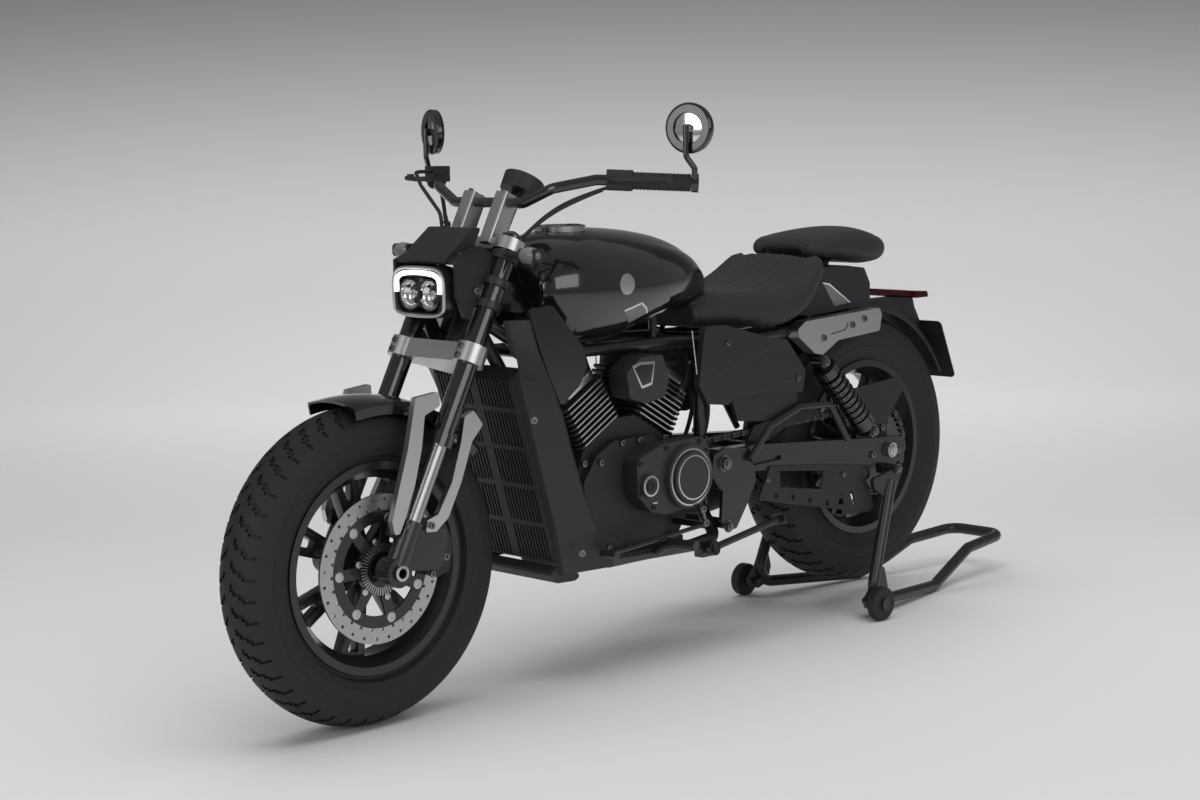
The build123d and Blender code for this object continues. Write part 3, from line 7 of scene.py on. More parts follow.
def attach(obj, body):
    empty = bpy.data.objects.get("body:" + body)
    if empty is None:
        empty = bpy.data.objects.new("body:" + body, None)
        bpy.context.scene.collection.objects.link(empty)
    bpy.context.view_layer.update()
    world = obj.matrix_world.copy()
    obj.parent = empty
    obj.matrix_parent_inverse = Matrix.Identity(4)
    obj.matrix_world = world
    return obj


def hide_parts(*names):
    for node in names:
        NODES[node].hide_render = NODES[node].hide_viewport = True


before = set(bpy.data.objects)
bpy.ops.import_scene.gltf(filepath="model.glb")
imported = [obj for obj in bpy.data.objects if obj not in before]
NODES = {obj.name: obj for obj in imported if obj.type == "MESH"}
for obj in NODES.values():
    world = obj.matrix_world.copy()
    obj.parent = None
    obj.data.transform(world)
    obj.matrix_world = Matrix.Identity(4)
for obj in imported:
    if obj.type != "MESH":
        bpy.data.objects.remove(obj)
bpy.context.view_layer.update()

bl_info = {
    "name": "Cruiser Motorcycle",
    "version": (1, 0, 0),
    "blender": (4, 5, 0),
    "location": "View3D > Sidebar > Motorcycle",
    "description": "Tyres, seats, lamps, fasteners, cables and finishes of a cruiser on its paddock stand",
    "category": "Object",
}

# Row frame, metres. The rear axle is this far behind the origin.
REAR_AXLE = Vector((-0.6345, 0.0, 0.389))
FRONT_AXLE = Vector((0.8855, 0.0, 0.323))
STEER_ORIGIN = Vector((0.845585, 0.0, 0.302221))
STEER_UP = Vector((-0.461749, 0.0, 0.887011))
STEER_FORWARD = Vector((0.887011, 0.0, 0.461749))
FORK_SETBACK = 0.045
FORK_HALF = 0.103


def at(x, y, z):
    """A point from millimetres forward of the rear axle, to the left and up."""
    return Vector((x / 1000 - 0.6345, y / 1000, z / 1000))


def on_fork(forward, y, up):
    """A point from millimetres ahead of the steering axis, to the left, and up along it."""
    return STEER_ORIGIN + STEER_FORWARD * (forward / 1000) + Vector((0, y / 1000, 0)) + STEER_UP * (up / 1000)


# ---------------------------------------------------------------- sizes and colours
class TyreSizes(bpy.types.PropertyGroup):
    groove_depth: bpy.props.FloatProperty(
        name="Groove depth", description="Depth of the tread grooves", default=0.005, unit="LENGTH")
    front_pitches: bpy.props.IntProperty(
        name="Front pitches", description="Tread blocks round the front tyre", default=46)
    rear_pitches: bpy.props.IntProperty(
        name="Rear pitches", description="Tread blocks round the rear tyre", default=40)


class SeatSizes(bpy.types.PropertyGroup):
    swell: bpy.props.FloatProperty(
        name="Swell", description="How far the padding may bulge", default=0.006, unit="LENGTH")
    pleat_depth: bpy.props.FloatProperty(
        name="Pleat depth", description="Depth of the sewn channels", default=0.0035, unit="LENGTH")
    pleats: bpy.props.IntProperty(name="Pleats", description="Sewn channels on the rider's seat", default=8)


class FinishColours(bpy.types.PropertyGroup):
    gloss_black: bpy.props.FloatVectorProperty(
        name="Gloss black", description="Tank, fender and tubes", default=(0.008, 0.008, 0.009),
        subtype="COLOR")
    charcoal: bpy.props.FloatVectorProperty(
        name="Satin charcoal", description="Side panels, shrouds and covers", default=(0.016, 0.016, 0.0175),
        subtype="COLOR")
    polished: bpy.props.FloatVectorProperty(
        name="Polished metal", description="Clamps, stays and tail brackets", default=(0.55, 0.55, 0.56),
        subtype="COLOR")
    leather: bpy.props.FloatVectorProperty(
        name="Saddle leather", description="Both seats", default=(0.012, 0.012, 0.0125), subtype="COLOR")
    tyre: bpy.props.FloatVectorProperty(
        name="Tyre rubber", description="Tyres", default=(0.011, 0.011, 0.0115), subtype="COLOR")


class StudioSizes(bpy.types.PropertyGroup):
    lens: bpy.props.FloatProperty(name="Lens", description="Focal length of the camera", default=65.0)
    key_power: bpy.props.FloatProperty(
        name="Key light", description="Power of the overhead softbox", default=190.0, unit="POWER")
    side_power: bpy.props.FloatProperty(
        name="Side lights", description="Power of the softboxes at the sides", default=70.0, unit="POWER")
    wall_power: bpy.props.FloatProperty(
        name="Wall light", description="Power of the light on the backdrop", default=170.0, unit="POWER")


# ---------------------------------------------------------------- node groups
def new_group(name, inputs, outputs):
    """An empty shader node group with named sockets: (group, its input node, its output node)."""
    group = bpy.data.node_groups.new(name, "ShaderNodeTree")
    for socket, kind, default in inputs:
        item = group.interface.new_socket(name=socket, in_out="INPUT", socket_type=kind)
        if default is not None:
            item.default_value = default
    for socket, kind in outputs:
        group.interface.new_socket(name=socket, in_out="OUTPUT", socket_type=kind)
    return group, group.nodes.new("NodeGroupInput"), group.nodes.new("NodeGroupOutput")


def surface_grain_group():
    """Fine grain, broad tone changes and dust for a painted, moulded or cast surface."""
    group, inp, out = new_group(
        "Surface grain",
        [("Vector", "NodeSocketVector", None), ("Color", "NodeSocketColor", (0.5, 0.5, 0.5, 1.0)),
         ("Dust Color", "NodeSocketColor", (0.2, 0.2, 0.2, 1.0)), ("Grain Scale", "NodeSocketFloat", 900.0),
         ("Tone", "NodeSocketFloat", 0.2), ("Dust", "NodeSocketFloat", 0.05),
         ("Roughness", "NodeSocketFloat", 0.4), ("Roughness Spread", "NodeSocketFloat", 0.1)],
        [("Color", "NodeSocketColor"), ("Roughness", "NodeSocketFloat"), ("Height", "NodeSocketFloat")])
    n, link = group.nodes, group.links.new
    fine = n.new("ShaderNodeTexNoise")
    fine.inputs["Detail"].default_value = 3.0
    link(inp.outputs["Vector"], fine.inputs["Vector"])
    link(inp.outputs["Grain Scale"], fine.inputs["Scale"])
    broad = n.new("ShaderNodeTexNoise")
    broad.inputs["Scale"].default_value = 7.0
    broad.inputs["Detail"].default_value = 6.0
    link(inp.outputs["Vector"], broad.inputs["Vector"])
    darker = n.new("ShaderNodeHueSaturation")
    darker.inputs["Value"].default_value = 0.55
    link(inp.outputs["Color"], darker.inputs["Color"])
    weight = n.new("ShaderNodeMath")
    weight.operation = "MULTIPLY"
    link(broad.outputs["Fac"], weight.inputs[0])
    link(inp.outputs["Tone"], weight.inputs[1])
    tone = n.new("ShaderNodeMix")
    tone.data_type = "RGBA"
    link(weight.outputs[0], tone.inputs["Factor"])
    link(inp.outputs["Color"], tone.inputs["A"])
    link(darker.outputs["Color"], tone.inputs["B"])
    geometry = n.new("ShaderNodeNewGeometry")
    upward = n.new("ShaderNodeSeparateXYZ")
    link(geometry.outputs["Normal"], upward.inputs[0])
    specks = n.new("ShaderNodeMapRange")
    specks.inputs["From Min"].default_value = 0.48
    specks.inputs["From Max"].default_value = 0.75
    link(broad.outputs["Fac"], specks.inputs["Value"])
    lying = n.new("ShaderNodeMath")
    lying.operation = "MULTIPLY"
    lying.use_clamp = True
    link(upward.outputs["Z"], lying.inputs[0])
    link(specks.outputs["Result"], lying.inputs[1])
    dust = n.new("ShaderNodeMath")
    dust.operation = "MULTIPLY"
    link(lying.outputs[0], dust.inputs[0])
    link(inp.outputs["Dust"], dust.inputs[1])
    dusty = n.new("ShaderNodeMix")
    dusty.data_type = "RGBA"
    link(dust.outputs[0], dusty.inputs["Factor"])
    link(tone.outputs["Result"], dusty.inputs["A"])
    link(inp.outputs["Dust Color"], dusty.inputs["B"])
    link(dusty.outputs["Result"], out.inputs["Color"])
    spread = n.new("ShaderNodeMath")
    spread.operation = "MULTIPLY_ADD"
    link(broad.outputs["Fac"], spread.inputs[0])
    link(inp.outputs["Roughness Spread"], spread.inputs[1])
    link(inp.outputs["Roughness"], spread.inputs[2])
    link(spread.outputs[0], out.inputs["Roughness"])
    link(fine.outputs["Fac"], out.inputs["Height"])
    return group


def brushed_group():
    """Long scratches from turning or brushing, round the axis that runs along Y."""
    group, inp, out = new_group(
        "Brushed metal",
        [("Vector", "NodeSocketVector", None), ("Color", "NodeSocketColor", (0.6, 0.6, 0.6, 1.0)),
         ("Scratch Scale", "NodeSocketFloat", 400.0), ("Roughness", "NodeSocketFloat", 0.3),
         ("Stain", "NodeSocketFloat", 0.2)],
        [("Color", "NodeSocketColor"), ("Roughness", "NodeSocketFloat"), ("Height", "NodeSocketFloat")])
    n, link = group.nodes, group.links.new
    apart = n.new("ShaderNodeSeparateXYZ")
    link(inp.outputs["Vector"], apart.inputs[0])
    square_x = n.new("ShaderNodeMath")
    square_x.operation = "MULTIPLY"
    link(apart.outputs["X"], square_x.inputs[0])
    link(apart.outputs["X"], square_x.inputs[1])
    square_z = n.new("ShaderNodeMath")
    square_z.operation = "MULTIPLY_ADD"
    link(apart.outputs["Z"], square_z.inputs[0])
    link(apart.outputs["Z"], square_z.inputs[1])
    link(square_x.outputs[0], square_z.inputs[2])
    radius = n.new("ShaderNodeMath")
    radius.operation = "SQRT"
    link(square_z.outputs[0], radius.inputs[0])
    rings = n.new("ShaderNodeTexNoise")
    rings.noise_dimensions = "1D"
    rings.inputs["Detail"].default_value = 4.0
    link(radius.outputs[0], rings.inputs["W"])
    link(inp.outputs["Scratch Scale"], rings.inputs["Scale"])
    stains = n.new("ShaderNodeTexNoise")
    stains.inputs["Scale"].default_value = 14.0
    stains.inputs["Detail"].default_value = 5.0
    link(inp.outputs["Vector"], stains.inputs["Vector"])
    shade = n.new("ShaderNodeHueSaturation")
    shade.inputs["Value"].default_value = 0.6
    link(inp.outputs["Color"], shade.inputs["Color"])
    amount = n.new("ShaderNodeMath")
    amount.operation = "MULTIPLY"
    link(stains.outputs["Fac"], amount.inputs[0])
    link(inp.outputs["Stain"], amount.inputs[1])
    mixed = n.new("ShaderNodeMix")
    mixed.data_type = "RGBA"
    link(amount.outputs[0], mixed.inputs["Factor"])
    link(inp.outputs["Color"], mixed.inputs["A"])
    link(shade.outputs["Color"], mixed.inputs["B"])
    link(mixed.outputs["Result"], out.inputs["Color"])
    rough = n.new("ShaderNodeMath")
    rough.operation = "MULTIPLY_ADD"
    rough.inputs[1].default_value = 0.12
    link(rings.outputs["Fac"], rough.inputs[0])
    link(inp.outputs["Roughness"], rough.inputs[2])
    link(rough.outputs[0], out.inputs["Roughness"])
    link(rings.outputs["Fac"], out.inputs["Height"])
    return group


def leather_group():
    """Pebbled leather: small rounded cells with creases between them."""
    group, inp, out = new_group(
        "Leather grain",
        [("Vector", "NodeSocketVector", None), ("Color", "NodeSocketColor", (0.02, 0.02, 0.02, 1.0)),
         ("Cell Scale", "NodeSocketFloat", 420.0), ("Roughness", "NodeSocketFloat", 0.5)],
        [("Color", "NodeSocketColor"), ("Roughness", "NodeSocketFloat"), ("Height", "NodeSocketFloat")])
    n, link = group.nodes, group.links.new
    cells = n.new("ShaderNodeTexVoronoi")
    cells.feature = "SMOOTH_F1"
    link(inp.outputs["Vector"], cells.inputs["Vector"])
    link(inp.outputs["Cell Scale"], cells.inputs["Scale"])
    wear = n.new("ShaderNodeTexNoise")
    wear.inputs["Scale"].default_value = 16.0
    wear.inputs["Detail"].default_value = 5.0
    link(inp.outputs["Vector"], wear.inputs["Vector"])
    lighter = n.new("ShaderNodeHueSaturation")
    lighter.inputs["Value"].default_value = 1.7
    link(inp.outputs["Color"], lighter.inputs["Color"])
    worn = n.new("ShaderNodeMix")
    worn.data_type = "RGBA"
    link(wear.outputs["Fac"], worn.inputs["Factor"])
    link(inp.outputs["Color"], worn.inputs["A"])
    link(lighter.outputs["Color"], worn.inputs["B"])
    link(worn.outputs["Result"], out.inputs["Color"])
    rough = n.new("ShaderNodeMath")
    rough.operation = "MULTIPLY_ADD"
    rough.inputs[1].default_value = 0.16
    link(wear.outputs["Fac"], rough.inputs[0])
    link(inp.outputs["Roughness"], rough.inputs[2])
    link(rough.outputs[0], out.inputs["Roughness"])
    height = n.new("ShaderNodeMath")
    height.operation = "SUBTRACT"
    height.inputs[0].default_value = 1.0
    link(cells.outputs["Distance"], height.inputs[1])
    link(height.outputs[0], out.inputs["Height"])
    return group


# ---------------------------------------------------------------- materials
def start_material(name):
    """A material with a Principled shader and object coordinates: (material, nodes, link, shader, coordinates)."""
    material = bpy.data.materials.new(name)
    material.use_nodes = True
    nodes = material.node_tree.nodes
    shader = nodes["Principled BSDF"]
    coordinates = nodes.new("ShaderNodeTexCoord")
    return material, nodes, material.node_tree.links.new, shader, coordinates


def add_bump(nodes, link, shader, height, strength, distance):
    bump = nodes.new("ShaderNodeBump")
    bump.inputs["Strength"].default_value = strength
    bump.inputs["Distance"].default_value = distance
    link(height, bump.inputs["Height"])
    link(bump.outputs["Normal"], shader.inputs["Normal"])


def painted(name, colour, roughness, grain, depth, tone=0.25, dust=0.06, metallic=0.0, coat=0.0, spread=0.1,
            dust_colour=(0.12, 0.12, 0.12)):
    """A painted, moulded, rubber or cast finish with its grain, uneven tone and dust."""
    material, nodes, link, shader, coordinates = start_material(name)
    group = nodes.new("ShaderNodeGroup")
    group.node_tree = bpy.data.node_groups["Surface grain"]
    link(coordinates.outputs["Object"], group.inputs["Vector"])
    group.inputs["Color"].default_value = (*colour, 1.0)
    group.inputs["Dust Color"].default_value = (*dust_colour, 1.0)
    group.inputs["Grain Scale"].default_value = grain
    group.inputs["Tone"].default_value = tone
    group.inputs["Dust"].default_value = dust
    group.inputs["Roughness"].default_value = roughness
    group.inputs["Roughness Spread"].default_value = spread
    link(group.outputs["Color"], shader.inputs["Base Color"])
    link(group.outputs["Roughness"], shader.inputs["Roughness"])
    add_bump(nodes, link, shader, group.outputs["Height"], 0.5, depth)
    shader.inputs["Metallic"].default_value = metallic
    shader.inputs["Coat Weight"].default_value = coat
    shader.inputs["Coat Roughness"].default_value = 0.04
    return material


def brushed(name, colour, roughness, scale=400.0, stain=0.2, depth=0.00006):
    """Bare metal with turning or brushing marks."""
    material, nodes, link, shader, coordinates = start_material(name)
    group = nodes.new("ShaderNodeGroup")
    group.node_tree = bpy.data.node_groups["Brushed metal"]
    link(coordinates.outputs["Object"], group.inputs["Vector"])
    group.inputs["Color"].default_value = (*colour, 1.0)
    group.inputs["Scratch Scale"].default_value = scale
    group.inputs["Roughness"].default_value = roughness
    group.inputs["Stain"].default_value = stain
    link(group.outputs["Color"], shader.inputs["Base Color"])
    link(group.outputs["Roughness"], shader.inputs["Roughness"])
    add_bump(nodes, link, shader, group.outputs["Height"], 0.4, depth)
    shader.inputs["Metallic"].default_value = 1.0
    return material


def leather(name, colour):
    material, nodes, link, shader, coordinates = start_material(name)
    group = nodes.new("ShaderNodeGroup")
    group.node_tree = bpy.data.node_groups["Leather grain"]
    link(coordinates.outputs["Object"], group.inputs["Vector"])
    group.inputs["Color"].default_value = (*colour, 1.0)
    link(group.outputs["Color"], shader.inputs["Base Color"])
    link(group.outputs["Roughness"], shader.inputs["Roughness"])
    add_bump(nodes, link, shader, group.outputs["Height"], 0.55, 0.0006)
    shader.inputs["Sheen Weight"].default_value = 0.03
    return material


def lens(name, colour, roughness=0.02, transmission=1.0):
    """Clear or tinted moulded glass with faint flutes."""
    material, nodes, link, shader, coordinates = start_material(name)
    shader.inputs["Base Color"].default_value = (*colour, 1.0)
    shader.inputs["Roughness"].default_value = roughness
    shader.inputs["Transmission Weight"].default_value = transmission
    shader.inputs["IOR"].default_value = 1.45
    flutes = nodes.new("ShaderNodeTexWave")
    flutes.bands_direction = "Y"
    flutes.inputs["Scale"].default_value = 60.0
    link(coordinates.outputs["Object"], flutes.inputs["Vector"])
    add_bump(nodes, link, shader, flutes.outputs["Fac"], 0.15, 0.0002)
    return material


def glow(name, colour, strength):
    material, nodes, link, shader, coordinates = start_material(name)
    shader.inputs["Base Color"].default_value = (*colour, 1.0)
    shader.inputs["Emission Color"].default_value = (*colour, 1.0)
    shader.inputs["Emission Strength"].default_value = strength
    shader.inputs["Roughness"].default_value = 0.25
    return material


def backdrop_finish():
    """Studio paper, pale on the floor, with painted shade that darkens it up the wall."""
    material, nodes, link, shader, coordinates = start_material("Backdrop")
    apart = nodes.new("ShaderNodeSeparateXYZ")
    link(coordinates.outputs["Object"], apart.inputs[0])
    # Painted shade: the colour goes from pale near the floor to dark grey high on the wall, in place of the light
    # falling off.
    height = nodes.new("ShaderNodeMapRange")
    height.interpolation_type = "SMOOTHSTEP"
    height.inputs["From Min"].default_value = 0.3
    height.inputs["From Max"].default_value = 2.4
    link(apart.outputs["Z"], height.inputs["Value"])
    painted_wall_shade = nodes.new("ShaderNodeMix")
    painted_wall_shade.data_type = "RGBA"
    link(height.outputs["Result"], painted_wall_shade.inputs["Factor"])
    painted_wall_shade.inputs["A"].default_value = (0.62, 0.625, 0.635, 1.0)
    painted_wall_shade.inputs["B"].default_value = (0.17, 0.172, 0.176, 1.0)
    link(painted_wall_shade.outputs["Result"], shader.inputs["Base Color"])
    paper = nodes.new("ShaderNodeTexNoise")
    paper.inputs["Scale"].default_value = 60.0
    link(coordinates.outputs["Object"], paper.inputs["Vector"])
    add_bump(nodes, link, shader, paper.outputs["Fac"], 0.1, 0.0002)
    shader.inputs["Roughness"].default_value = 0.75
    shader.inputs["Specular IOR Level"].default_value = 0.2


def wear_finish(obj, name):
    """Give a piece one finish all over."""
    obj.data.materials.clear()
    obj.data.materials.append(bpy.data.materials[name])


NODE_FINISH = {
    "front_tyre": "Tyre rubber", "rear_tyre": "Tyre rubber", "front_rim": "Wheel black",
    "rear_rim": "Wheel black", "front_disc": "Disc steel", "rear_disc": "Disc steel",
    "rear_sprocket": "Chain steel", "drive_chain": "Chain steel", "clamps": "Cast silver",
    "fork_tubes": "Gloss black", "fork_lowers": "Fork chrome", "front_calliper": "Moulded black",
    "front_fender": "Gloss black", "fender_stays": "Cast silver", "headlight": "Lamp shell",
    "headlight_bracket": "Satin charcoal", "front_indicators": "Moulded black", "handlebar": "Gloss black",
    "hand_controls": "Moulded black", "mirrors": "Gloss black", "instrument": "Moulded black",
    "brake_hose": "Hose rubber", "main_frame": "Frame black", "crankcase": "Engine black",
    "cylinders": "Engine black", "engine_covers": "Engine cover", "radiator": "Radiator black",
    "radiator_shroud": "Shroud black", "side_fairings": "Gloss black", "fuel_tank": "Gloss black",
    "fuel_cap": "Polished metal", "tank_panels": "Gloss black", "rider_seat": "Saddle leather",
    "pillion_seat": "Saddle leather", "side_covers": "Satin charcoal", "tail_cover": "Satin charcoal",
    "tail_brackets": "Cast silver", "rear_fender": "Moulded black", "tail_lamp": "Red lens",
    "swingarm": "Frame black", "rear_axle": "Polished metal", "rear_shocks": "Gloss black",
    "chain_guards": "Moulded black", "rear_calliper": "Moulded black", "foot_controls": "Frame black",
    "exhaust": "Exhaust black", "paddock_stand": "Stand black", "stand_wheel_left": "Hose rubber",
    "stand_wheel_right": "Hose rubber", "side_stand": "Frame black",
}


class MOTORCYCLE_OT_finishes(bpy.types.Operator):
    """Makes every finish and puts it on the solid parts"""

    bl_idname = "motorcycle.finishes"
    bl_label = "Finishes"

    def execute(self, context):
        colours = context.scene.finish_colours
        surface_grain_group()
        brushed_group()
        leather_group()
        painted("Gloss black", colours.gloss_black, 0.12, 1400, 0.00002, tone=0.1, dust=0.03, coat=1.0, spread=0.05)
        painted("Satin charcoal", colours.charcoal, 0.34, 1800, 0.00006, tone=0.2, dust=0.05)
        painted("Shroud black", (0.02, 0.02, 0.021), 0.42, 1500, 0.0001)
        painted("Moulded black", (0.016, 0.016, 0.017), 0.48, 1300, 0.00014, tone=0.3)
        painted("Frame black", (0.012, 0.012, 0.013), 0.28, 1100, 0.00005, coat=0.35)
        painted("Stand black", (0.014, 0.014, 0.015), 0.3, 900, 0.00012, coat=0.2)
        painted("Wheel black", (0.012, 0.012, 0.013), 0.26, 1200, 0.00006, coat=0.3)
        painted("Engine black", (0.02, 0.02, 0.021), 0.5, 700, 0.0003, tone=0.4, dust=0.1)
        painted("Engine cover", (0.028, 0.028, 0.03), 0.38, 900, 0.00016, tone=0.3)
        painted("Radiator black", (0.014, 0.014, 0.015), 0.45, 900, 0.0002)
        painted("Exhaust black", (0.016, 0.016, 0.016), 0.5, 800, 0.0002, tone=0.4)
        painted("Tyre rubber", colours.tyre, 0.58, 1000, 0.0002, tone=0.45, dust=0.05, spread=0.15)
        painted("Hose rubber", (0.014, 0.014, 0.014), 0.55, 1200, 0.0001)
        painted("Lamp shell", (0.012, 0.012, 0.013), 0.2, 1200, 0.00005, coat=0.3)
        painted("Cast silver", (0.62, 0.62, 0.63), 0.3, 900, 0.0001, tone=0.2, metallic=1.0, dust=0.02)
        brushed("Polished metal", colours.polished, 0.16, 200)
        brushed("Fork chrome", (0.42, 0.42, 0.43), 0.2, 500)
        brushed("Disc steel", (0.52, 0.52, 0.52), 0.3, 900)
        brushed("Chain steel", (0.16, 0.16, 0.165), 0.42, 500, stain=0.6)
        leather("Saddle leather", colours.leather)
        lens("Clear lens", (0.95, 0.96, 0.97))
        lens("Red lens", (0.05, 0.002, 0.002), 0.1, 0.3)
        lens("Indicator lens", (0.86, 0.87, 0.88), 0.06, 0.85)
        glow("Lamp glow", (1.0, 1.0, 1.0), 1.6)
        brushed("Machined edge", (0.66, 0.66, 0.67), 0.22, 700)
        painted("Decal grey", (0.16, 0.16, 0.165), 0.35, 1600, 0.00003, tone=0.15, coat=0.3)
        painted("White line", (0.72, 0.72, 0.72), 0.35, 1500, 0.00003, tone=0.1, dust=0.02, coat=0.3)
        painted("Instrument glass", (0.004, 0.004, 0.005), 0.04, 1500, 0.00001, tone=0.1, dust=0.0, coat=1.0)
        painted("Bolt steel", (0.22, 0.22, 0.23), 0.3, 1200, 0.00006, metallic=1.0, dust=0.02)
        painted("Thread", (0.05, 0.05, 0.052), 0.6, 2500, 0.0002)
        brushed("Reflector", (0.85, 0.85, 0.86), 0.05, 150)
        for node, finish in NODE_FINISH.items():
            wear_finish(NODES[node], finish)
        return {"FINISHED"}


# ---------------------------------------------------------------- making pieces
def deselect():
    bpy.ops.object.select_all(action="DESELECT")


def only(obj):
    """Select one object alone and make it active."""
    deselect()
    obj.select_set(True)
    bpy.context.view_layer.objects.active = obj


def settle(obj):
    """Put a piece's place into its mesh."""
    only(obj)
    bpy.ops.object.transform_apply(location=True, rotation=True, scale=True)


def pick(obj, test):
    """Go into edit mode with the faces selected that pass a test on their centre and normal."""
    only(obj)
    bpy.ops.object.mode_set(mode="EDIT")
    bpy.ops.mesh.select_mode(type="FACE")
    bpy.ops.mesh.select_all(action="DESELECT")
    bpy.ops.object.mode_set(mode="OBJECT")
    for face in obj.data.polygons:
        face.select = test(face.center, face.normal)
    bpy.ops.object.mode_set(mode="EDIT")


def leave():
    bpy.ops.object.mode_set(mode="OBJECT")


def finish_piece(obj, name, finish, body, nodes=(), angle=35):
    """Name a piece, give it its finish and smooth shading, and let it ride on a body."""
    settle(obj)
    obj.name = name
    obj.data.name = name
    if finish:
        wear_finish(obj, finish)
    only(obj)
    bpy.ops.object.shade_smooth_by_angle(angle=radians(angle))
    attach(obj, body)
    for node in nodes:
        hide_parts(node)
    return obj


def turn_to(direction):
    return Vector(direction).to_track_quat("Z", "Y").to_matrix().to_4x4()


def set_out(template, places):
    """Copy a piece made upright at the origin to each place and direction, and join the copies."""
    copies = []
    for place, direction in places:
        piece = template.copy()
        piece.data = template.data.copy()
        bpy.context.scene.collection.objects.link(piece)
        piece.matrix_world = Matrix.Translation(place) @ turn_to(direction)
        copies.append(piece)
    bpy.data.objects.remove(template)
    return weld(copies)


def weld(pieces):
    """Join pieces into one object."""
    deselect()
    for piece in pieces:
        piece.select_set(True)
    bpy.context.view_layer.objects.active = pieces[0]
    if len(pieces) > 1:
        bpy.ops.object.join()
    joined = bpy.context.object
    settle(joined)
    return joined


def round_bar(radius, length, sides=24, rim=0.0):
    """A bar standing on the origin along Z, with its top rim rounded."""
    deselect()
    bpy.ops.mesh.primitive_cylinder_add(vertices=sides, radius=radius, depth=length, location=(0, 0, length / 2))
    bar = bpy.context.object
    settle(bar)
    if rim:
        pick(bar, lambda centre, normal: normal.z > 0.9)
        bpy.ops.mesh.bevel(offset=rim, segments=2, affect="EDGES")
        leave()
    return bar


def socket_bolt(radius, height):
    """A socket-head bolt: a rounded head with a recess."""
    bolt = round_bar(radius, height, 20, height * 0.15)
    pick(bolt, lambda centre, normal: normal.z > 0.99 and centre.z > height * 0.98)
    bpy.ops.mesh.inset(thickness=radius * 0.42)
    bpy.ops.mesh.extrude_region_move(TRANSFORM_OT_translate={"value": (0, 0, -height * 0.6)})
    leave()
    return bolt


def hex_nut(radius, height):
    """A flanged hexagon nut with the end of its stud."""
    nut = round_bar(radius, height, 6, height * 0.12)
    pick(nut, lambda centre, normal: normal.z > 0.99 and centre.z > height * 0.98)
    bpy.ops.mesh.inset(thickness=radius * 0.36)
    bpy.ops.mesh.extrude_region_move(TRANSFORM_OT_translate={"value": (0, 0, height * 0.3)})
    leave()
    flange = round_bar(radius * 1.25, height * 0.18, 28)
    return weld([nut, flange])


def block(size, place, bevel=0.0, segments=2, direction=None):
    """A box with rounded edges at a place."""
    deselect()
    bpy.ops.mesh.primitive_cube_add(size=1, location=(0, 0, 0))
    box = bpy.context.object
    box.scale = size
    settle(box)
    if bevel:
        only(box)
        bpy.ops.object.mode_set(mode="EDIT")
        bpy.ops.mesh.select_all(action="SELECT")
        bpy.ops.mesh.bevel(offset=bevel, segments=segments, affect="EDGES")
        leave()
    box.matrix_world = Matrix.Translation(place) @ (turn_to(direction) if direction else Matrix.Identity(4))
    settle(box)
    return box


def slab(points, outer, thickness, bevel=0.0):
    """A flat plate parallel to the bike's side: its outline in x and z, its outer face at y, in millimetres."""
    deselect()
    bpy.ops.mesh.primitive_circle_add(vertices=len(points), radius=1, fill_type="NGON")
    sheet = bpy.context.object
    for vertex, (x, z) in zip(sheet.data.vertices, points):
        vertex.co = at(x, outer, z)
    only(sheet)
    bpy.ops.object.mode_set(mode="EDIT")
    bpy.ops.mesh.select_all(action="SELECT")
    bpy.ops.mesh.extrude_region_move(TRANSFORM_OT_translate={"value": (0, -thickness / 1000, 0)})
    bpy.ops.mesh.select_all(action="SELECT")
    bpy.ops.mesh.normals_make_consistent(inside=False)
    leave()
    if bevel:
        facing = 1 if thickness > 0 else -1
        pick(sheet, lambda centre, normal: normal.y * facing > 0.9)
        bpy.ops.mesh.bevel(offset=bevel / 1000, segments=2, affect="EDGES")
        leave()
    return sheet


def run_of(points, radius, closed=False, resolution=8, sides=4, flat=None):
    """A round line along smooth control points, as a mesh."""
    deselect()
    bpy.ops.curve.primitive_nurbs_path_add()
    path = bpy.context.object
    curve = path.data
    curve.splines.clear()
    spline = curve.splines.new("NURBS")
    spline.points.add(len(points) - 1)
    for point, place in zip(spline.points, points):
        point.co = (*place, 1.0)
    spline.order_u = 3
    spline.use_endpoint_u = not closed
    spline.use_cyclic_u = closed
    spline.resolution_u = resolution
    curve.bevel_depth = radius
    curve.bevel_resolution = sides
    curve.use_fill_caps = True
    path.matrix_world = Matrix.Identity(4)
    only(path)
    bpy.ops.object.convert(target="MESH")
    return bpy.context.object


def ring_round(inner, outer, height, place, direction, sides=48, rim=0.0):
    """A flat ring standing on its place along a direction."""
    bar = round_bar(outer, height, sides, rim)
    pick(bar, lambda centre, normal: abs(normal.z) > 0.99 and abs(centre.x) < 0.001 and abs(centre.y) < 0.001)
    bpy.ops.mesh.inset(thickness=outer - rim - inner)
    bpy.ops.mesh.bridge_edge_loops()
    leave()
    bar.matrix_world = Matrix.Translation(place) @ turn_to(direction)
    settle(bar)
    return bar


def both_sides(points):
    """Each point and its mirror image across the middle of the bike."""
    return [(x, s * y, z) for x, y, z in points for s in (1, -1)]


# ---------------------------------------------------------------- tyres
# Name, node, body, x and z of the axle, radius, half width, rim half width, stepping groove.
TYRE_ROWS = (
    ("front_tyre_treaded", "front_tyre", "front_wheel", 1520, 323, 323, 66, 50,
     ((0, 0), (1, 0), (2, 0), (2, 1), (3, 1), (3, 2), (4, 2), (5, 2), (5, 3), (6, 3), (6, 4))),
    ("rear_tyre_treaded", "rear_tyre", "rear_wheel", 0, 389, 332, 75, 65,
     ((0, 0), (1, 0), (1, 1), (2, 1), (3, 1), (3, 2), (4, 2), (4, 3), (5, 3), (6, 3), (6, 4), (7, 4))),
)
TREAD_COLUMNS = 16
PITCH_ROWS = 6
SHOULDER_DROP = 24
BEAD_RADIUS = 204.0


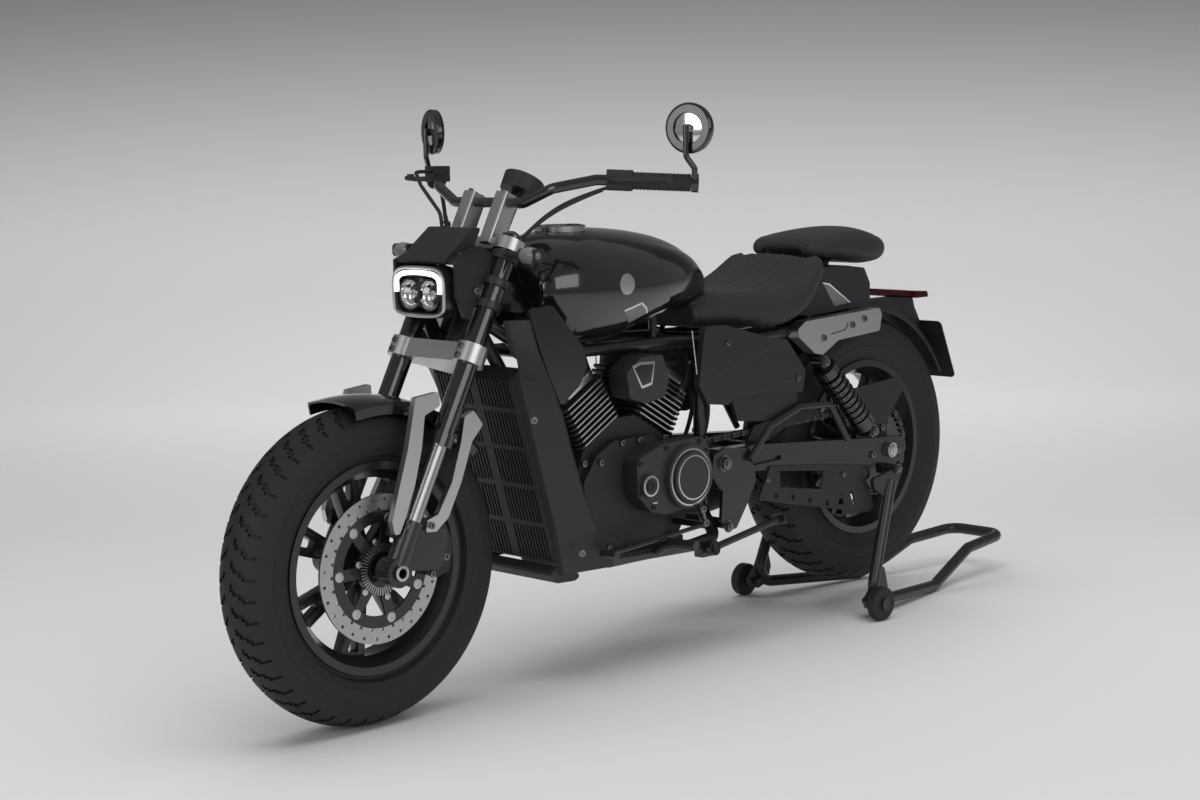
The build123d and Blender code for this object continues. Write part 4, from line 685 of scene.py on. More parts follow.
def tyre_section(radius, half, rim_half):
    """The outline of a tyre's section: across and out from the axle, in millimetres."""
    shoulder = half - 9
    crown = (shoulder ** 2 + SHOULDER_DROP ** 2) / (2 * SHOULDER_DROP)
    tread = []
    for column in range(TREAD_COLUMNS + 1):
        across = -shoulder + 2 * shoulder * column / TREAD_COLUMNS
        tread.append((across, radius - crown + (crown ** 2 - across ** 2) ** 0.5))
    wall = (
        (half - 5, radius - 34), (half - 2, radius - 46), (half - 0.4, radius - 58), (half - 1.6, radius - 60),
        (half - 1.4, radius - 70), (half - 3.4, radius - 82), (half - 2.2, radius - 83.5), (half - 7, radius - 96),
        (rim_half - 3, 222), (rim_half - 4, 216), (rim_half - 8.4, BEAD_RADIUS),
    )
    return tread + list(wall) + [(-across, out) for across, out in reversed(wall)]


class MOTORCYCLE_OT_tyres(bpy.types.Operator):
    """Makes both tyres with their tread blocks, shoulder grooves and sidewall rings"""

    bl_idname = "motorcycle.tyres"
    bl_label = "Tyres"

    def execute(self, context):
        sizes = context.scene.tyre_sizes
        counts = (sizes.front_pitches, sizes.rear_pitches)
        for row, pitches in zip(TYRE_ROWS, counts):
            name, node, body, x, z, radius, half, rim_half, groove = row
            section = tyre_section(radius, half, rim_half)
            deselect()
            bpy.ops.mesh.primitive_circle_add(vertices=len(section), radius=1, fill_type="NOTHING")
            tyre = context.object
            axle = at(x, 0, z)
            for vertex, (across, out) in zip(tyre.data.vertices, section):
                vertex.co = axle + Vector((0, across / 1000, out / 1000))
            steps = pitches * PITCH_ROWS
            only(tyre)
            bpy.ops.object.mode_set(mode="EDIT")
            bpy.ops.mesh.select_all(action="SELECT")
            bpy.ops.mesh.spin(steps=steps, angle=2 * pi, center=axle, axis=(0, 1, 0))
            bpy.ops.mesh.select_all(action="SELECT")
            bpy.ops.mesh.remove_doubles(threshold=0.00005)
            bpy.ops.mesh.normals_make_consistent(inside=False)
            leave()
            shoulder = (half - 9) / 1000
            cells = set(groove)

            def in_groove(centre, normal):
                across = centre.y
                out = Vector((centre.x - axle.x, centre.z - axle.z)).length
                if abs(across) >= shoulder or out < (radius - SHOULDER_DROP - 6) / 1000:
                    return False
                column = int((across + shoulder) / (2 * shoulder) * TREAD_COLUMNS)
                turn = atan2(centre.z - axle.z, centre.x - axle.x) % (2 * pi)
                ring = int(turn / (2 * pi) * steps + 0.02)
                if column >= TREAD_COLUMNS / 2:
                    column = TREAD_COLUMNS - 1 - column
                    ring += PITCH_ROWS // 2
                return (column, ring % PITCH_ROWS) in cells

            pick(tyre, in_groove)
            bpy.ops.mesh.extrude_region_shrink_fatten(TRANSFORM_OT_shrink_fatten={"value": -sizes.groove_depth})
            leave()
            finish_piece(tyre, name, "Tyre rubber", body, (node,), angle=28)
        return {"FINISHED"}


# ---------------------------------------------------------------- seats
# Name, node, whether it has lengthwise pleats.
SEAT_ROWS = (
    ("rider_cushion", "rider_seat", True),
    ("pillion_cushion", "pillion_seat", False),
)
SEAT_VOXEL = 0.005
PLEAT_SPACING = 0.024
PLEAT_WIDTH = 0.0035


def seat_half_width(x, pleated):
    """Half the seat's width at the level of its border seam, x in metres from the rear axle."""
    if pleated:
        stations = ((0.24, 0.100), (0.285, 0.114), (0.35, 0.128), (0.45, 0.122), (0.56, 0.102), (0.65, 0.082))
    else:
        stations = ((-0.076, 0.036), (-0.024, 0.082), (0.06, 0.098), (0.19, 0.092), (0.236, 0.066))
    for (x0, half0), (x1, half1) in zip(stations, stations[1:]):
        if x <= x1:
            part = min(max((x - x0) / (x1 - x0), 0.0), 1.0)
            return half0 + (half1 - half0) * part
    return stations[-1][1]


class MOTORCYCLE_OT_seats(bpy.types.Operator):
    """Pads both seats, sews their pleats and border seams and lays the stitches"""

    bl_idname = "motorcycle.seats"
    bl_label = "Seats"

    def execute(self, context):
        sizes = context.scene.seat_sizes
        for name, node, pleated in SEAT_ROWS:
            source = NODES[node]
            seat = source.copy()
            seat.data = source.data.copy()
            context.scene.collection.objects.link(seat)
            seat.hide_render = False
            seat.hide_viewport = False
            seat.hide_set(False)
            only(seat)
            bpy.ops.object.mode_set(mode="EDIT")
            bpy.ops.mesh.select_all(action="SELECT")
            bpy.ops.mesh.remove_doubles(threshold=0.00002)
            bpy.ops.mesh.normals_make_consistent(inside=False)
            leave()
            remesh = seat.modifiers.new("Remesh", "REMESH")
            remesh.mode = "VOXEL"
            remesh.voxel_size = SEAT_VOXEL
            bpy.ops.object.modifier_apply(modifier=remesh.name)
            before = [vertex.co.copy() for vertex in seat.data.vertices]
            cloth = seat.modifiers.new("Cloth", "CLOTH")
            cloth.settings.quality = 4
            cloth.settings.mass = 0.3
            cloth.settings.use_pressure = True
            cloth.settings.uniform_pressure_force = 4.0
            cloth.settings.tension_stiffness = 30
            cloth.settings.bending_stiffness = 2.0
            cloth.settings.effector_weights.gravity = 0.0
            cloth.point_cache.frame_start = 1
            cloth.point_cache.frame_end = 20
            for step in range(1, 21):
                context.scene.frame_set(step)
            bpy.ops.object.modifier_apply(modifier=cloth.name)
            context.scene.frame_set(1)
            for vertex, start in zip(seat.data.vertices, before):
                moved = vertex.co - start
                if moved.length > sizes.swell:
                    vertex.co = start + moved.normalized() * sizes.swell
            smooth = seat.modifiers.new("Smooth", "CORRECTIVE_SMOOTH")
            smooth.iterations = 6
            smooth.use_only_smooth = True
            bpy.ops.object.modifier_apply(modifier=smooth.name)
            finer = seat.modifiers.new("Subdivision", "SUBSURF")
            finer.levels = finer.render_levels = 1
            bpy.ops.object.modifier_apply(modifier=finer.name)
            base = REAR_AXLE.x
            pleats = sizes.pleats
            facing = [vertex.normal.copy() for vertex in seat.data.vertices]
            for vertex, normal in zip(seat.data.vertices, facing):
                if normal.z < 0.05:
                    continue
                x, y = vertex.co.x - base, vertex.co.y
                half = seat_half_width(x, pleated)
                depth = sizes.pleat_depth * 0.8 * 2.7 ** (-((abs(y) - half) / PLEAT_WIDTH) ** 2)
                if pleated and abs(y) < half - 0.006:
                    spread = 1.0 + max(0.0, x - 0.25) * 1.2
                    fade = min(max((0.50 - x) / 0.08, 0.0), 1.0) * min(max((x - 0.25) / 0.02, 0.0), 1.0)
                    line = (y / (PLEAT_SPACING * spread)) % 1.0
                    offset = min(line, 1.0 - line) * PLEAT_SPACING * spread
                    if abs(y) < PLEAT_SPACING * spread * pleats / 2:
                        depth += sizes.pleat_depth * fade * 2.7 ** (-(offset / PLEAT_WIDTH) ** 2)
                vertex.co = vertex.co - normal * depth * min(1.0, normal.z * 2)
            finish_piece(seat, name, "Saddle leather", "chassis", (node,), angle=80)
            self.sew(context, seat, name, pleated)
        return {"FINISHED"}

    def sew(self, context, seat, name, pleated):
        """Lay a row of stitches beside the border seam, on the padding's own surface."""
        start, end = (0.262, 0.60) if pleated else (-0.06, 0.226)
        stitch = round_bar(0.0007, 0.0052, 8, 0.0003)
        places = []
        x = start
        while x < end:
            for side in (1, -1):
                for offset in (0.005,):
                    y = side * (seat_half_width(x, pleated) + offset)
                    y_next = side * (seat_half_width(x + 0.008, pleated) + offset)
                    hit, place, normal, _ = seat.ray_cast(Vector((REAR_AXLE.x + x, y, 1.2)), Vector((0, 0, -1)))
                    hit_next, place_next, _, _ = seat.ray_cast(
                        Vector((REAR_AXLE.x + x + 0.008, y_next, 1.2)), Vector((0, 0, -1)))
                    if hit and hit_next and (place_next - place).length < 0.02:
                        places.append((place + normal * 0.0002, place_next - place))
            x += 0.0095
        stitches = set_out(stitch, places)
        finish_piece(stitches, name + "_stitches", "Thread", "chassis")


# ---------------------------------------------------------------- fasteners
# Body, x, y, z in millimetres from the rear axle, direction it faces, head radius in metres, kind.
BOLT_ROWS = (
    ("chassis", 1215, 186, 597, (0.6, 0.8, 0), 0.0075, "socket"),
    ("chassis", 1070, 168, 300, (0.6, 0.8, 0), 0.0075, "socket"),
    ("chassis", 607, 151, 431, (0, 1, 0), 0.015, "nut"),
    ("chassis", 596, 151, 286, (0, 1, 0), 0.011, "nut"),
    ("chassis", 420, 112, 462, (0, 1, 0), 0.006, "socket"),
    ("chassis", 457, 146.3, 374, (0, 1, 0), 0.0065, "socket"),
    ("chassis", 183, 146.3, 352, (0, 1, 0), 0.0065, "socket"),
    ("chassis", 82, 158, 446, (0, 1, 0), 0.012, "nut"),
    ("chassis", 262, 158, 628, (0, 1, 0), 0.011, "nut"),
    ("chassis", 66, 142, 384, (0, 1, 0), 0.008, "socket"),
    ("chassis", -34, 142, 384, (0, 1, 0), 0.007, "socket"),
    ("chassis", -8, 112, 440, (0, 1, 0), 0.008, "socket"),
    ("chassis", 5, 172, 345, (0, 1, 0), 0.009, "nut"),
    ("chassis", 600, 158, 700, (0, 1, 0), 0.006, "socket"),
    ("chassis", 360, 158, 600, (0, 1, 0), 0.006, "socket"),
    ("front_end", 1285, 98, 860, (0, 1, 0), 0.008, "socket"),
    ("front_end", 1300, 70, 930, (0.3, 0.9, 0.3), 0.006, "socket"),
    ("front_end", 1490, 114, 410, (0, 1, 0), 0.007, "socket"),
    ("front_end", 1432, 114, 404, (0, 1, 0), 0.007, "socket"),
    ("front_end", 1384, 88, 380, (0, 1, 0), 0.008, "socket"),
    ("front_end", 1376, 88, 330, (0, 1, 0), 0.008, "socket"),
    ("front_end", 1412, 88, 300, (0, 1, 0), 0.007, "socket"),
)
ENGINE_BOLTS = (
    (1000, 104, 474), (950, 104, 470), (884, 104, 505), (831, 104, 505), (752, 104, 502), (760, 104, 272),
    (870, 104, 274), (930, 104, 282), (980, 104, 350),
)
COVER_BOLTS = ((872, 462), (868, 396), (832, 362), (700, 358), (668, 396), (664, 466), (684, 490), (790, 486))


class MOTORCYCLE_OT_fasteners(bpy.types.Operator):
    """Sets bolts and nuts on the frame, the engine and the fork"""

    bl_idname = "motorcycle.fasteners"
    bl_label = "Fasteners"

    def execute(self, context):
        for body in ("chassis", "front_end"):
            parts = []
            for owner, x, y, z, direction, radius, kind in BOLT_ROWS:
                if owner != body:
                    continue
                piece = socket_bolt(radius, radius * 0.8) if kind == "socket" else hex_nut(radius, radius * 0.8)
                places = [(at(x, y, z), direction)]
                if y > 0:
                    places.append((at(x, -y, z), (direction[0], -direction[1], direction[2])))
                parts.append(set_out(piece, places))
            if body == "front_end":
                for forward, side, up in ((66, 1, 449), (66, 1, 469), (66, -1, 449), (66, -1, 469)):
                    places = [(on_fork(forward + 11, side * 103, up), STEER_FORWARD)]
                    parts.append(set_out(socket_bolt(0.006, 0.005), places))
                for side in (1, -1):
                    parts.append(set_out(hex_nut(0.013, 0.008), [(on_fork(45, side * 103, 722), STEER_UP)]))
                parts.append(set_out(hex_nut(0.018, 0.012), [(on_fork(0, 0, 729), STEER_UP)]))
                for side in (50, -50):
                    for forward in (32, 64):
                        parts.append(set_out(socket_bolt(0.0055, 0.006), [(on_fork(forward, side, 813), STEER_UP)]))
            finish_piece(weld(parts), body + "_bolts", "Bolt steel", body)
        bolt = socket_bolt(0.0075, 0.007)
        places = [(at(x, s * y, z), (0, s, 0)) for x, y, z in ENGINE_BOLTS for s in (1, -1)]
        finish_piece(set_out(bolt, places), "engine_bolts", "Bolt steel", "chassis")
        bolt = socket_bolt(0.006, 0.005)
        places = [(at(x, 148, z), (0, 1, 0)) for x, z in COVER_BOLTS]
        finish_piece(set_out(bolt, places), "engine_cover_bolts", "Satin charcoal", "chassis")
        return {"FINISHED"}


# ---------------------------------------------------------------- headlight and lamps
class MOTORCYCLE_OT_lamps(bpy.types.Operator):
    """Makes the headlight's band and reflectors and the indicator lenses, and gives the tail lamp its red lens"""

    bl_idname = "motorcycle.lamps"
    bl_label = "Lamps"

    def execute(self, context):
        band = [(-67, 856), (-68, 870), (-66, 885), (-50, 895), (0, 898), (50, 895), (66, 885), (68, 870), (67, 856)]
        light = run_of([at(1353, y, z) for y, z in band], 0.0052, sides=3)
        finish_piece(light, "headlight_band", "Lamp glow", "front_end")
        trim = [(-74, 812), (-79, 840), (-78, 890), (-60, 906), (0, 908), (60, 906), (78, 890), (79, 840), (74, 812),
                (0, 808)]
        rim = run_of([at(1352, y, z) for y, z in trim], 0.0035, closed=True, sides=3)
        finish_piece(rim, "headlight_trim", "Cast silver", "front_end")
        bowls = []
        for y in (-30, 30):
            deselect()
            bpy.ops.mesh.primitive_uv_sphere_add(segments=28, ring_count=14, radius=0.030, location=(0, 0, 0))
            bowl = context.object
            pick(bowl, lambda centre, normal: centre.z > 0.001)
            bpy.ops.mesh.delete(type="FACE")
            leave()
            bowl.scale = (1.0, 1.0, 0.75)
            bowl.matrix_world = Matrix.Translation(at(1350, y, 852)) @ turn_to((1, 0, 0)) @ Matrix.Diagonal(
                (1.0, 1.0, 0.75, 1.0))
            settle(bowl)
            bulb = round_bar(0.009, 0.014, 20, 0.003)
            bulb.matrix_world = Matrix.Translation(at(1330, y, 852)) @ turn_to((1, 0, 0))
            settle(bulb)
            bowls += [bowl, bulb]
        finish_piece(weld(bowls), "headlight_reflectors", "Reflector", "front_end")
        divider = block((0.02, 0.004, 0.05), at(1342, 0, 852), 0.001)
        bezel = ring_round(0.0305, 0.033, 0.004, at(1347, -30, 852), (1, 0, 0), 40)
        bezel_two = ring_round(0.0305, 0.033, 0.004, at(1347, 30, 852), (1, 0, 0), 40)
        finish_piece(weld([divider, bezel, bezel_two]), "headlight_bezels", "Satin charcoal", "front_end")
        glass = block((0.132, 0.070, 0.003), at(1354.5, 0, 852), 0.0)
        bpy.data.objects.remove(glass)
        indicators = []
        for side in (1, -1):
            deselect()
            bpy.ops.mesh.primitive_uv_sphere_add(segments=24, ring_count=14, radius=0.5, location=(0, 0, 0))
            cover = context.object
            cover.scale = (0.036, 0.056, 0.034)
            settle(cover)
            cover.matrix_world = Matrix.Translation(at(1226, side * 196, 930))
            settle(cover)
            indicators.append(cover)
        finish_piece(weld(indicators), "indicator_lenses", "Indicator lens", "front_end")
        for node in ("tail_lamp",):
            wear_finish(NODES[node], "Red lens")
        return {"FINISHED"}


# ---------------------------------------------------------------- wheels, brakes and chain
# Name, body, x and z of the axle, hub radius, half thickness. The first spoke points backwards, over the rim's own.
SPOKE_ROWS = (
    ("front_spokes", "front_wheel", 1520, 323, 34, 13.4),
    ("rear_spokes", "rear_wheel", 0, 389, 45, 15.4),
)
SPOKE_COUNT = 7
WELL_RADIUS = 186
# The web that closes each fork at the rim: millimetres out from the axle and across.
FORK_WEB = [(173, 14), (WELL_RADIUS - 1, 16), (WELL_RADIUS - 1, -16), (173, -14)]


def spoke_outline(hub):
    """One cast spoke, forked towards the rim: millimetres out from the axle and across."""
    half = [(hub - 8, 19.6), (hub + 40, 16.6), (WELL_RADIUS - 4, 31.6), (WELL_RADIUS - 1, 34),
            (WELL_RADIUS - 1, 14.2), (172, 12.2), (136, 6.6), (134.5, 2)]
    return half + [(out, -across) for out, across in reversed(half)]


class MOTORCYCLE_OT_wheels(bpy.types.Operator):
    """Makes the disc's bobbins, the tone ring, the axle nuts and the calliper's pistons"""

    bl_idname = "motorcycle.wheels"
    bl_label = "Wheels and brakes"

    def execute(self, context):
        for name, body, x, z, hub, half in SPOKE_ROWS:
            spokes = []
            for step in range(SPOKE_COUNT):
                turn = 2 * pi * step / SPOKE_COUNT
                for outline, reach in ((spoke_outline(hub), half), (FORK_WEB, half - 0.2)):
                    points = [
                        (x - out * cos(turn) + across * sin(turn), z + out * sin(turn) + across * cos(turn))
                        for out, across in outline
                    ]
                    spokes.append(slab(points, reach, 2 * reach))
                for side in (1, -1):
                    pick(spokes[-2], lambda centre, normal: normal.y * side > 0.9)
                    bpy.ops.mesh.bevel(offset=0.0016, segments=2, affect="EDGES")
                    leave()
            finish_piece(weld(spokes), name, "Wheel black", body)
        bobbin = round_bar(0.0105, 0.003, 24, 0.0006)
        pick(bobbin, lambda centre, normal: normal.z > 0.99 and centre.z > 0.0029)
        bpy.ops.mesh.inset(thickness=0.004)
        bpy.ops.mesh.extrude_region_move(TRANSFORM_OT_translate={"value": (0, 0, -0.0012)})
        leave()
        places = []
        for step in range(7):
            turn = pi + 2 * pi * step / 7
            places.append((FRONT_AXLE + Vector((-0.103 * cos(turn), 0.0590, 0.103 * sin(turn))), (0, 1, 0)))
        finish_piece(set_out(bobbin, places), "disc_bobbins", "Cast silver", "front_wheel")
        carrier = round_bar(0.007, 0.004, 20, 0.001)
        places = [
            (FRONT_AXLE + Vector((0.058 * cos(turn), 0.0605, 0.058 * sin(turn))), (0, 1, 0))
            for turn in (0.3 + 2 * pi * step / 6 for step in range(6))
        ]
        finish_piece(set_out(carrier, places), "disc_carrier_bolts", "Cast silver", "front_wheel")
        tooth = block((0.0022, 0.016, 0.002), (0, 0, 0), 0.0)
        teeth = []
        for step in range(48):
            turn = 2 * pi * step / 48
            piece = tooth.copy()
            piece.data = tooth.data.copy()
            context.scene.collection.objects.link(piece)
            out = Vector((cos(turn), 0, sin(turn)))
            piece.matrix_world = Matrix.Translation(FRONT_AXLE + out * 0.044 + Vector((0, 0.0645, 0))) @ Matrix((
                (-out.z, out.x, 0, 0), (0, 0, 1, 0), (out.x, out.z, 0, 0), (0, 0, 0, 1)))
            teeth.append(piece)
        bpy.data.objects.remove(tooth)
        finish_piece(weld(teeth), "tone_ring_teeth", "Cast silver", "front_wheel")
        for name, node in (("Carrier", "front_disc"),):
            disc = NODES[node]
            disc.data.materials.clear()
            disc.data.materials.append(bpy.data.materials["Disc steel"])
            disc.data.materials.append(bpy.data.materials["Wheel black"])
            for face in disc.data.polygons:
                out = Vector((face.center.x - FRONT_AXLE.x, face.center.z - FRONT_AXLE.z)).length
                face.material_index = 1 if out < 0.1105 else 0
        legs = NODES["fork_lowers"]
        legs.data.materials.clear()
        legs.data.materials.append(bpy.data.materials["Fork chrome"])
        legs.data.materials.append(bpy.data.materials["Frame black"])
        for face in legs.data.polygons:
            up = (face.center - STEER_ORIGIN).dot(STEER_UP)
            ahead = (face.center - STEER_ORIGIN).dot(STEER_FORWARD)
            face.material_index = 0 if up > 0.09 and abs(ahead - FORK_SETBACK) < 0.019 else 1
        nut = hex_nut(0.0145, 0.004)
        finish_piece(set_out(nut, [(at(0, 153, 389), (0, 1, 0)), (at(0, -153, 389), (0, -1, 0))]),
                     "rear_axle_ends", "Cast silver", "chassis")
        collar = ring_round(0.0105, 0.016, 0.003, at(1520, 127, 323), (0, 1, 0), 32, 0.0008)
        finish_piece(collar, "front_axle_collar", "Cast silver", "front_end")
        pistons = [
            set_out(round_bar(0.017, 0.006, 28, 0.002), [(at(1390, 87.5, z), (0, 1, 0))]) for z in (330, 368)
        ]
        finish_piece(weld(pistons), "calliper_pistons", "Moulded black", "front_end")
        return {"FINISHED"}


class MOTORCYCLE_OT_chain(bpy.types.Operator):
    """Makes the drive chain of plates and rollers and the coils of the rear springs"""

    bl_idname = "motorcycle.chain"
    bl_label = "Chain and springs"

    def execute(self, context):
        rear, front = Vector((0, 389)), Vector((690, 431))
        big, small = 107.8, 43.8
        lean = atan2(front.y - rear.y, front.x - rear.x)
        span = (front - rear).length
        slope = atan2(big - small, (span ** 2 - (big - small) ** 2) ** 0.5)
        up, down = lean + pi / 2 - slope, lean - pi / 2 + slope
        straight = (span ** 2 - (big - small) ** 2) ** 0.5
        wrap_rear = 2 * pi - (up - down)
        wrap_front = up - down
        total = 2 * straight + big * wrap_rear + small * wrap_front
        links = 2 * round(total / 15.875 / 2)
        pitch = total / links

        def along(length):
            """A point of the chain's line and its direction, in millimetres."""
            length %= total
            if length < straight:
                start = rear + big * Vector((cos(up), sin(up)))
                end = front + small * Vector((cos(up), sin(up)))
                return start.lerp(end, length / straight), (end - start).normalized()
            length -= straight
            if length < small * wrap_front:
                turn = up - length / small
                return front + small * Vector((cos(turn), sin(turn))), Vector((sin(turn), -cos(turn)))
            length -= small * wrap_front
            if length < straight:
                start = front + small * Vector((cos(down), sin(down)))
                end = rear + big * Vector((cos(down), sin(down)))
                return start.lerp(end, length / straight), (end - start).normalized()
            length -= straight
            turn = down - length / big
            return rear + big * Vector((cos(turn), sin(turn))), Vector((sin(turn), -cos(turn)))

        pieces = []
        for outer in (True, False):
            half = 0.0068 if outer else 0.0050
            plates = []
            for side in (1, -1):
                plate = block((0.0238, 0.0013, 0.0125), (0, side * half, 0), 0.0)
                pick(plate, lambda centre, normal: abs(normal.x) > 0.9)
                bpy.ops.mesh.bevel(offset=0.0045, segments=2, affect="EDGES")
                leave()
                plates.append(plate)
            for end in (-0.0079, 0.0079):
                pin = round_bar(0.0042, 0.0145 if outer else 0.0098, 8)
                pin.matrix_world = Matrix.Translation((end, 0.00725 if outer else 0.0049, 0)) @ turn_to((0, -1, 0))
                plates.append(pin)
            link = weld(plates)
            for step in range(0 if outer else 1, links, 2):
                place, way = along((step + 0.5) * pitch)
                piece = link.copy()
                piece.data = link.data.copy()
                context.scene.collection.objects.link(piece)
                piece.matrix_world = Matrix.Translation(at(place.x, 97, place.y)) @ Matrix((
                    (way.x, 0, -way.y, 0), (0, 1, 0, 0), (way.y, 0, way.x, 0), (0, 0, 0, 1)))
                pieces.append(piece)
            bpy.data.objects.remove(link)
        finish_piece(weld(pieces), "drive_chain_links", "Chain steel", "chassis", ("drive_chain",))
        coils = []
        low, high = at(82, 142, 446), at(262, 142, 628)
        way = (high - low).normalized()
        for side in (1, -1):
            deselect()
            bpy.ops.mesh.primitive_circle_add(vertices=12, radius=0.0046, location=(0.0265, 0, 0),
                                              rotation=(pi / 2, 0, 0))
            coil = context.object
            settle(coil)
            screw = coil.modifiers.new("Screw", "SCREW")
            screw.angle = 2 * pi
            screw.screw_offset = 0.0185
            screw.iterations = 8
            screw.steps = screw.render_steps = 24
            screw.use_smooth_shade = True
            bpy.ops.object.modifier_apply(modifier=screw.name)
            only(coil)
            bpy.ops.object.mode_set(mode="EDIT")
            bpy.ops.mesh.select_all(action="SELECT")
            bpy.ops.mesh.normals_make_consistent(inside=False)
            leave()
            foot = Vector((low.x, side * low.y, low.z)) + way * 0.048
            coil.matrix_world = Matrix.Translation(foot) @ turn_to(way)
            settle(coil)
            coils.append(coil)
        finish_piece(weld(coils), "spring_coils", "Gloss black", "chassis")
        return {"FINISHED"}


# ---------------------------------------------------------------- engine
# Each cylinder bank: how far it leans, in degrees; the fins stand square to it.
BANKS = (30, -30)
BANK_FOOT = (850, 390)
FIN_START, FIN_PITCH, FIN_COUNT = 166, 12, 9
FIN_LENGTH, FIN_HALF_WIDTH = 112, 93


def on_bank(lean, along, y, up):
    """A point on a cylinder bank: millimetres along its fins, to the left and up its axis."""
    turn = radians(lean)
    x = BANK_FOOT[0] + up * sin(turn) + along * cos(turn)
    z = BANK_FOOT[1] + up * cos(turn) - along * sin(turn)
    return at(x, y, z)


def bank_turn(lean):
    return Matrix.Rotation(radians(lean), 4, (0, 1, 0))


def laid(obj, lean, along, y, up):
    """Set a piece made at the origin on a bank."""
    obj.matrix_world = Matrix.Translation(on_bank(lean, along, y, up)) @ bank_turn(lean)
    settle(obj)
    return obj


class MOTORCYCLE_OT_engine(bpy.types.Operator):
    """Makes the fins' bright edges, the head caps, the shield, the cover's rings and the engine's hoses"""

    bl_idname = "motorcycle.engine"
    bl_label = "Engine"

    def execute(self, context):
        edges = []
        for lean in BANKS:
            for fin in range(FIN_COUNT):
                for side in (1, -1):
                    strip = block((FIN_LENGTH / 1000, 0.0012, 0.0036), (0, 0, 0), 0.0004, 1)
                    up = FIN_START + FIN_PITCH * fin + 2
                    edges.append(laid(strip, lean, 0, side * (FIN_HALF_WIDTH + 0.4), up))
        finish_piece(weld(edges), "fin_edges", "Machined edge", "chassis")
        caps, ribs = [], []
        for lean in BANKS:
            for side in (1, -1):
                cap = block((0.078, 0.006, 0.018), (0, 0, 0), 0.003)
                caps.append(laid(cap, lean, 0, side * 85.5, 285))
                for along in (-44, -22, 0, 22, 44):
                    rib = block((0.005, 0.007, 0.030), (0, 0, 0), 0.0015)
                    ribs.append(laid(rib, lean, along * 0.9, side * 76, 150))
        finish_piece(weld(caps), "head_caps", "Cast silver", "chassis")
        finish_piece(weld(ribs), "barrel_ribs", "Engine black", "chassis")
        plate = slab([(894, 675), (870, 682), (824, 680), (834, 630), (866, 624)], 151.2, 1.6, 0.5)
        finish_piece(plate, "shield_plate", "Machined edge", "chassis")
        inner = slab([(888, 670), (869, 676), (830, 674), (838, 635), (864, 630)], 151.8, 1.2, 0.3)
        finish_piece(inner, "shield_inlay", "Satin charcoal", "chassis")
        rings = [
            ring_round(0.0600, 0.0640, 0.0016, at(725, 159.6, 416), (0, 1, 0), 72, 0.0005),
            ring_round(0.0465, 0.0500, 0.0016, at(725, 167.6, 416), (0, 1, 0), 72, 0.0005),
            ring_round(0.0190, 0.0230, 0.0014, at(847, 155.6, 411), (0, 1, 0), 48, 0.0004),
        ]
        finish_piece(weld(rings), "cover_rings", "Machined edge", "chassis")
        cap = socket_bolt(0.012, 0.003)
        finish_piece(set_out(cap, [(at(847, 155.8, 411), (0, 1, 0))]), "cover_cap_socket", "Moulded black", "chassis")
        slit = block((0.016, 0.0014, 0.004), at(828, 148.4, 371), 0.0006)
        finish_piece(slit, "cover_slit", "Machined edge", "chassis")
        hoses = [
            run_of([at(990, 60, 400), at(1015, 92, 396), at(1040, 100, 412), at(1068, 96, 430)], 0.011),
            run_of([at(700, 70, 560), at(672, 86, 600), at(640, 84, 640), at(636, 60, 690)], 0.009),
            run_of([at(790, 72, 640), at(744, 84, 662), at(700, 80, 654), at(660, 56, 664)], 0.008),
            run_of([at(560, 40, 470), at(574, 72, 520), at(584, 78, 580), at(570, 62, 640)], 0.007),
            run_of([at(618, 40, 480), at(612, 64, 540), at(622, 66, 600), at(608, 50, 660)], 0.005),
        ]
        finish_piece(weld(hoses), "engine_hoses", "Hose rubber", "chassis")
        clips = []
        for x, y, z, way in ((1024, 96, 402, (1, 0.5, 0.3)), (1056, 98, 424, (1, 0, 0.6)),
                             (678, 84, 592, (-1, 0.3, 1)), (642, 82, 650, (-0.3, -0.2, 1))):
            clips.append(ring_round(0.0086, 0.0128, 0.008, at(x, y, z), way, 32, 0.0008))
        finish_piece(weld(clips), "hose_clips", "Bolt steel", "chassis")
        return {"FINISHED"}


# ---------------------------------------------------------------- body trim
# No surface that a flat piece clings to lies further out than this, in metres.
SURFACE_REACH = 0.2


def cling(piece, node, distance, side=1):
    """Wrap a flat piece on a solid part's surface, seen from the side, and give it a thickness."""
    only(piece)
    bpy.ops.object.mode_set(mode="EDIT")
    bpy.ops.mesh.select_all(action="SELECT")
    bpy.ops.mesh.quads_convert_to_tris()
    bpy.ops.mesh.subdivide(number_cuts=6)
    bpy.ops.mesh.tris_convert_to_quads()
    leave()
    wrap = piece.modifiers.new("Shrinkwrap", "SHRINKWRAP")
    wrap.target = NODES[node]
    wrap.wrap_method = "PROJECT"
    wrap.use_project_y = True
    wrap.use_negative_direction = side > 0
    wrap.use_positive_direction = side < 0
    wrap.offset = 0.0005
    bpy.ops.object.modifier_apply(modifier=wrap.name)
    if any(abs(vertex.co.y) > SURFACE_REACH for vertex in piece.data.vertices):
        raise RuntimeError(f"a flat piece reaches past the edge of {node}")
    wall = piece.modifiers.new("Solidify", "SOLIDIFY")
    wall.thickness = distance
    wall.offset = 1.0
    bpy.ops.object.modifier_apply(modifier=wall.name)
    return piece


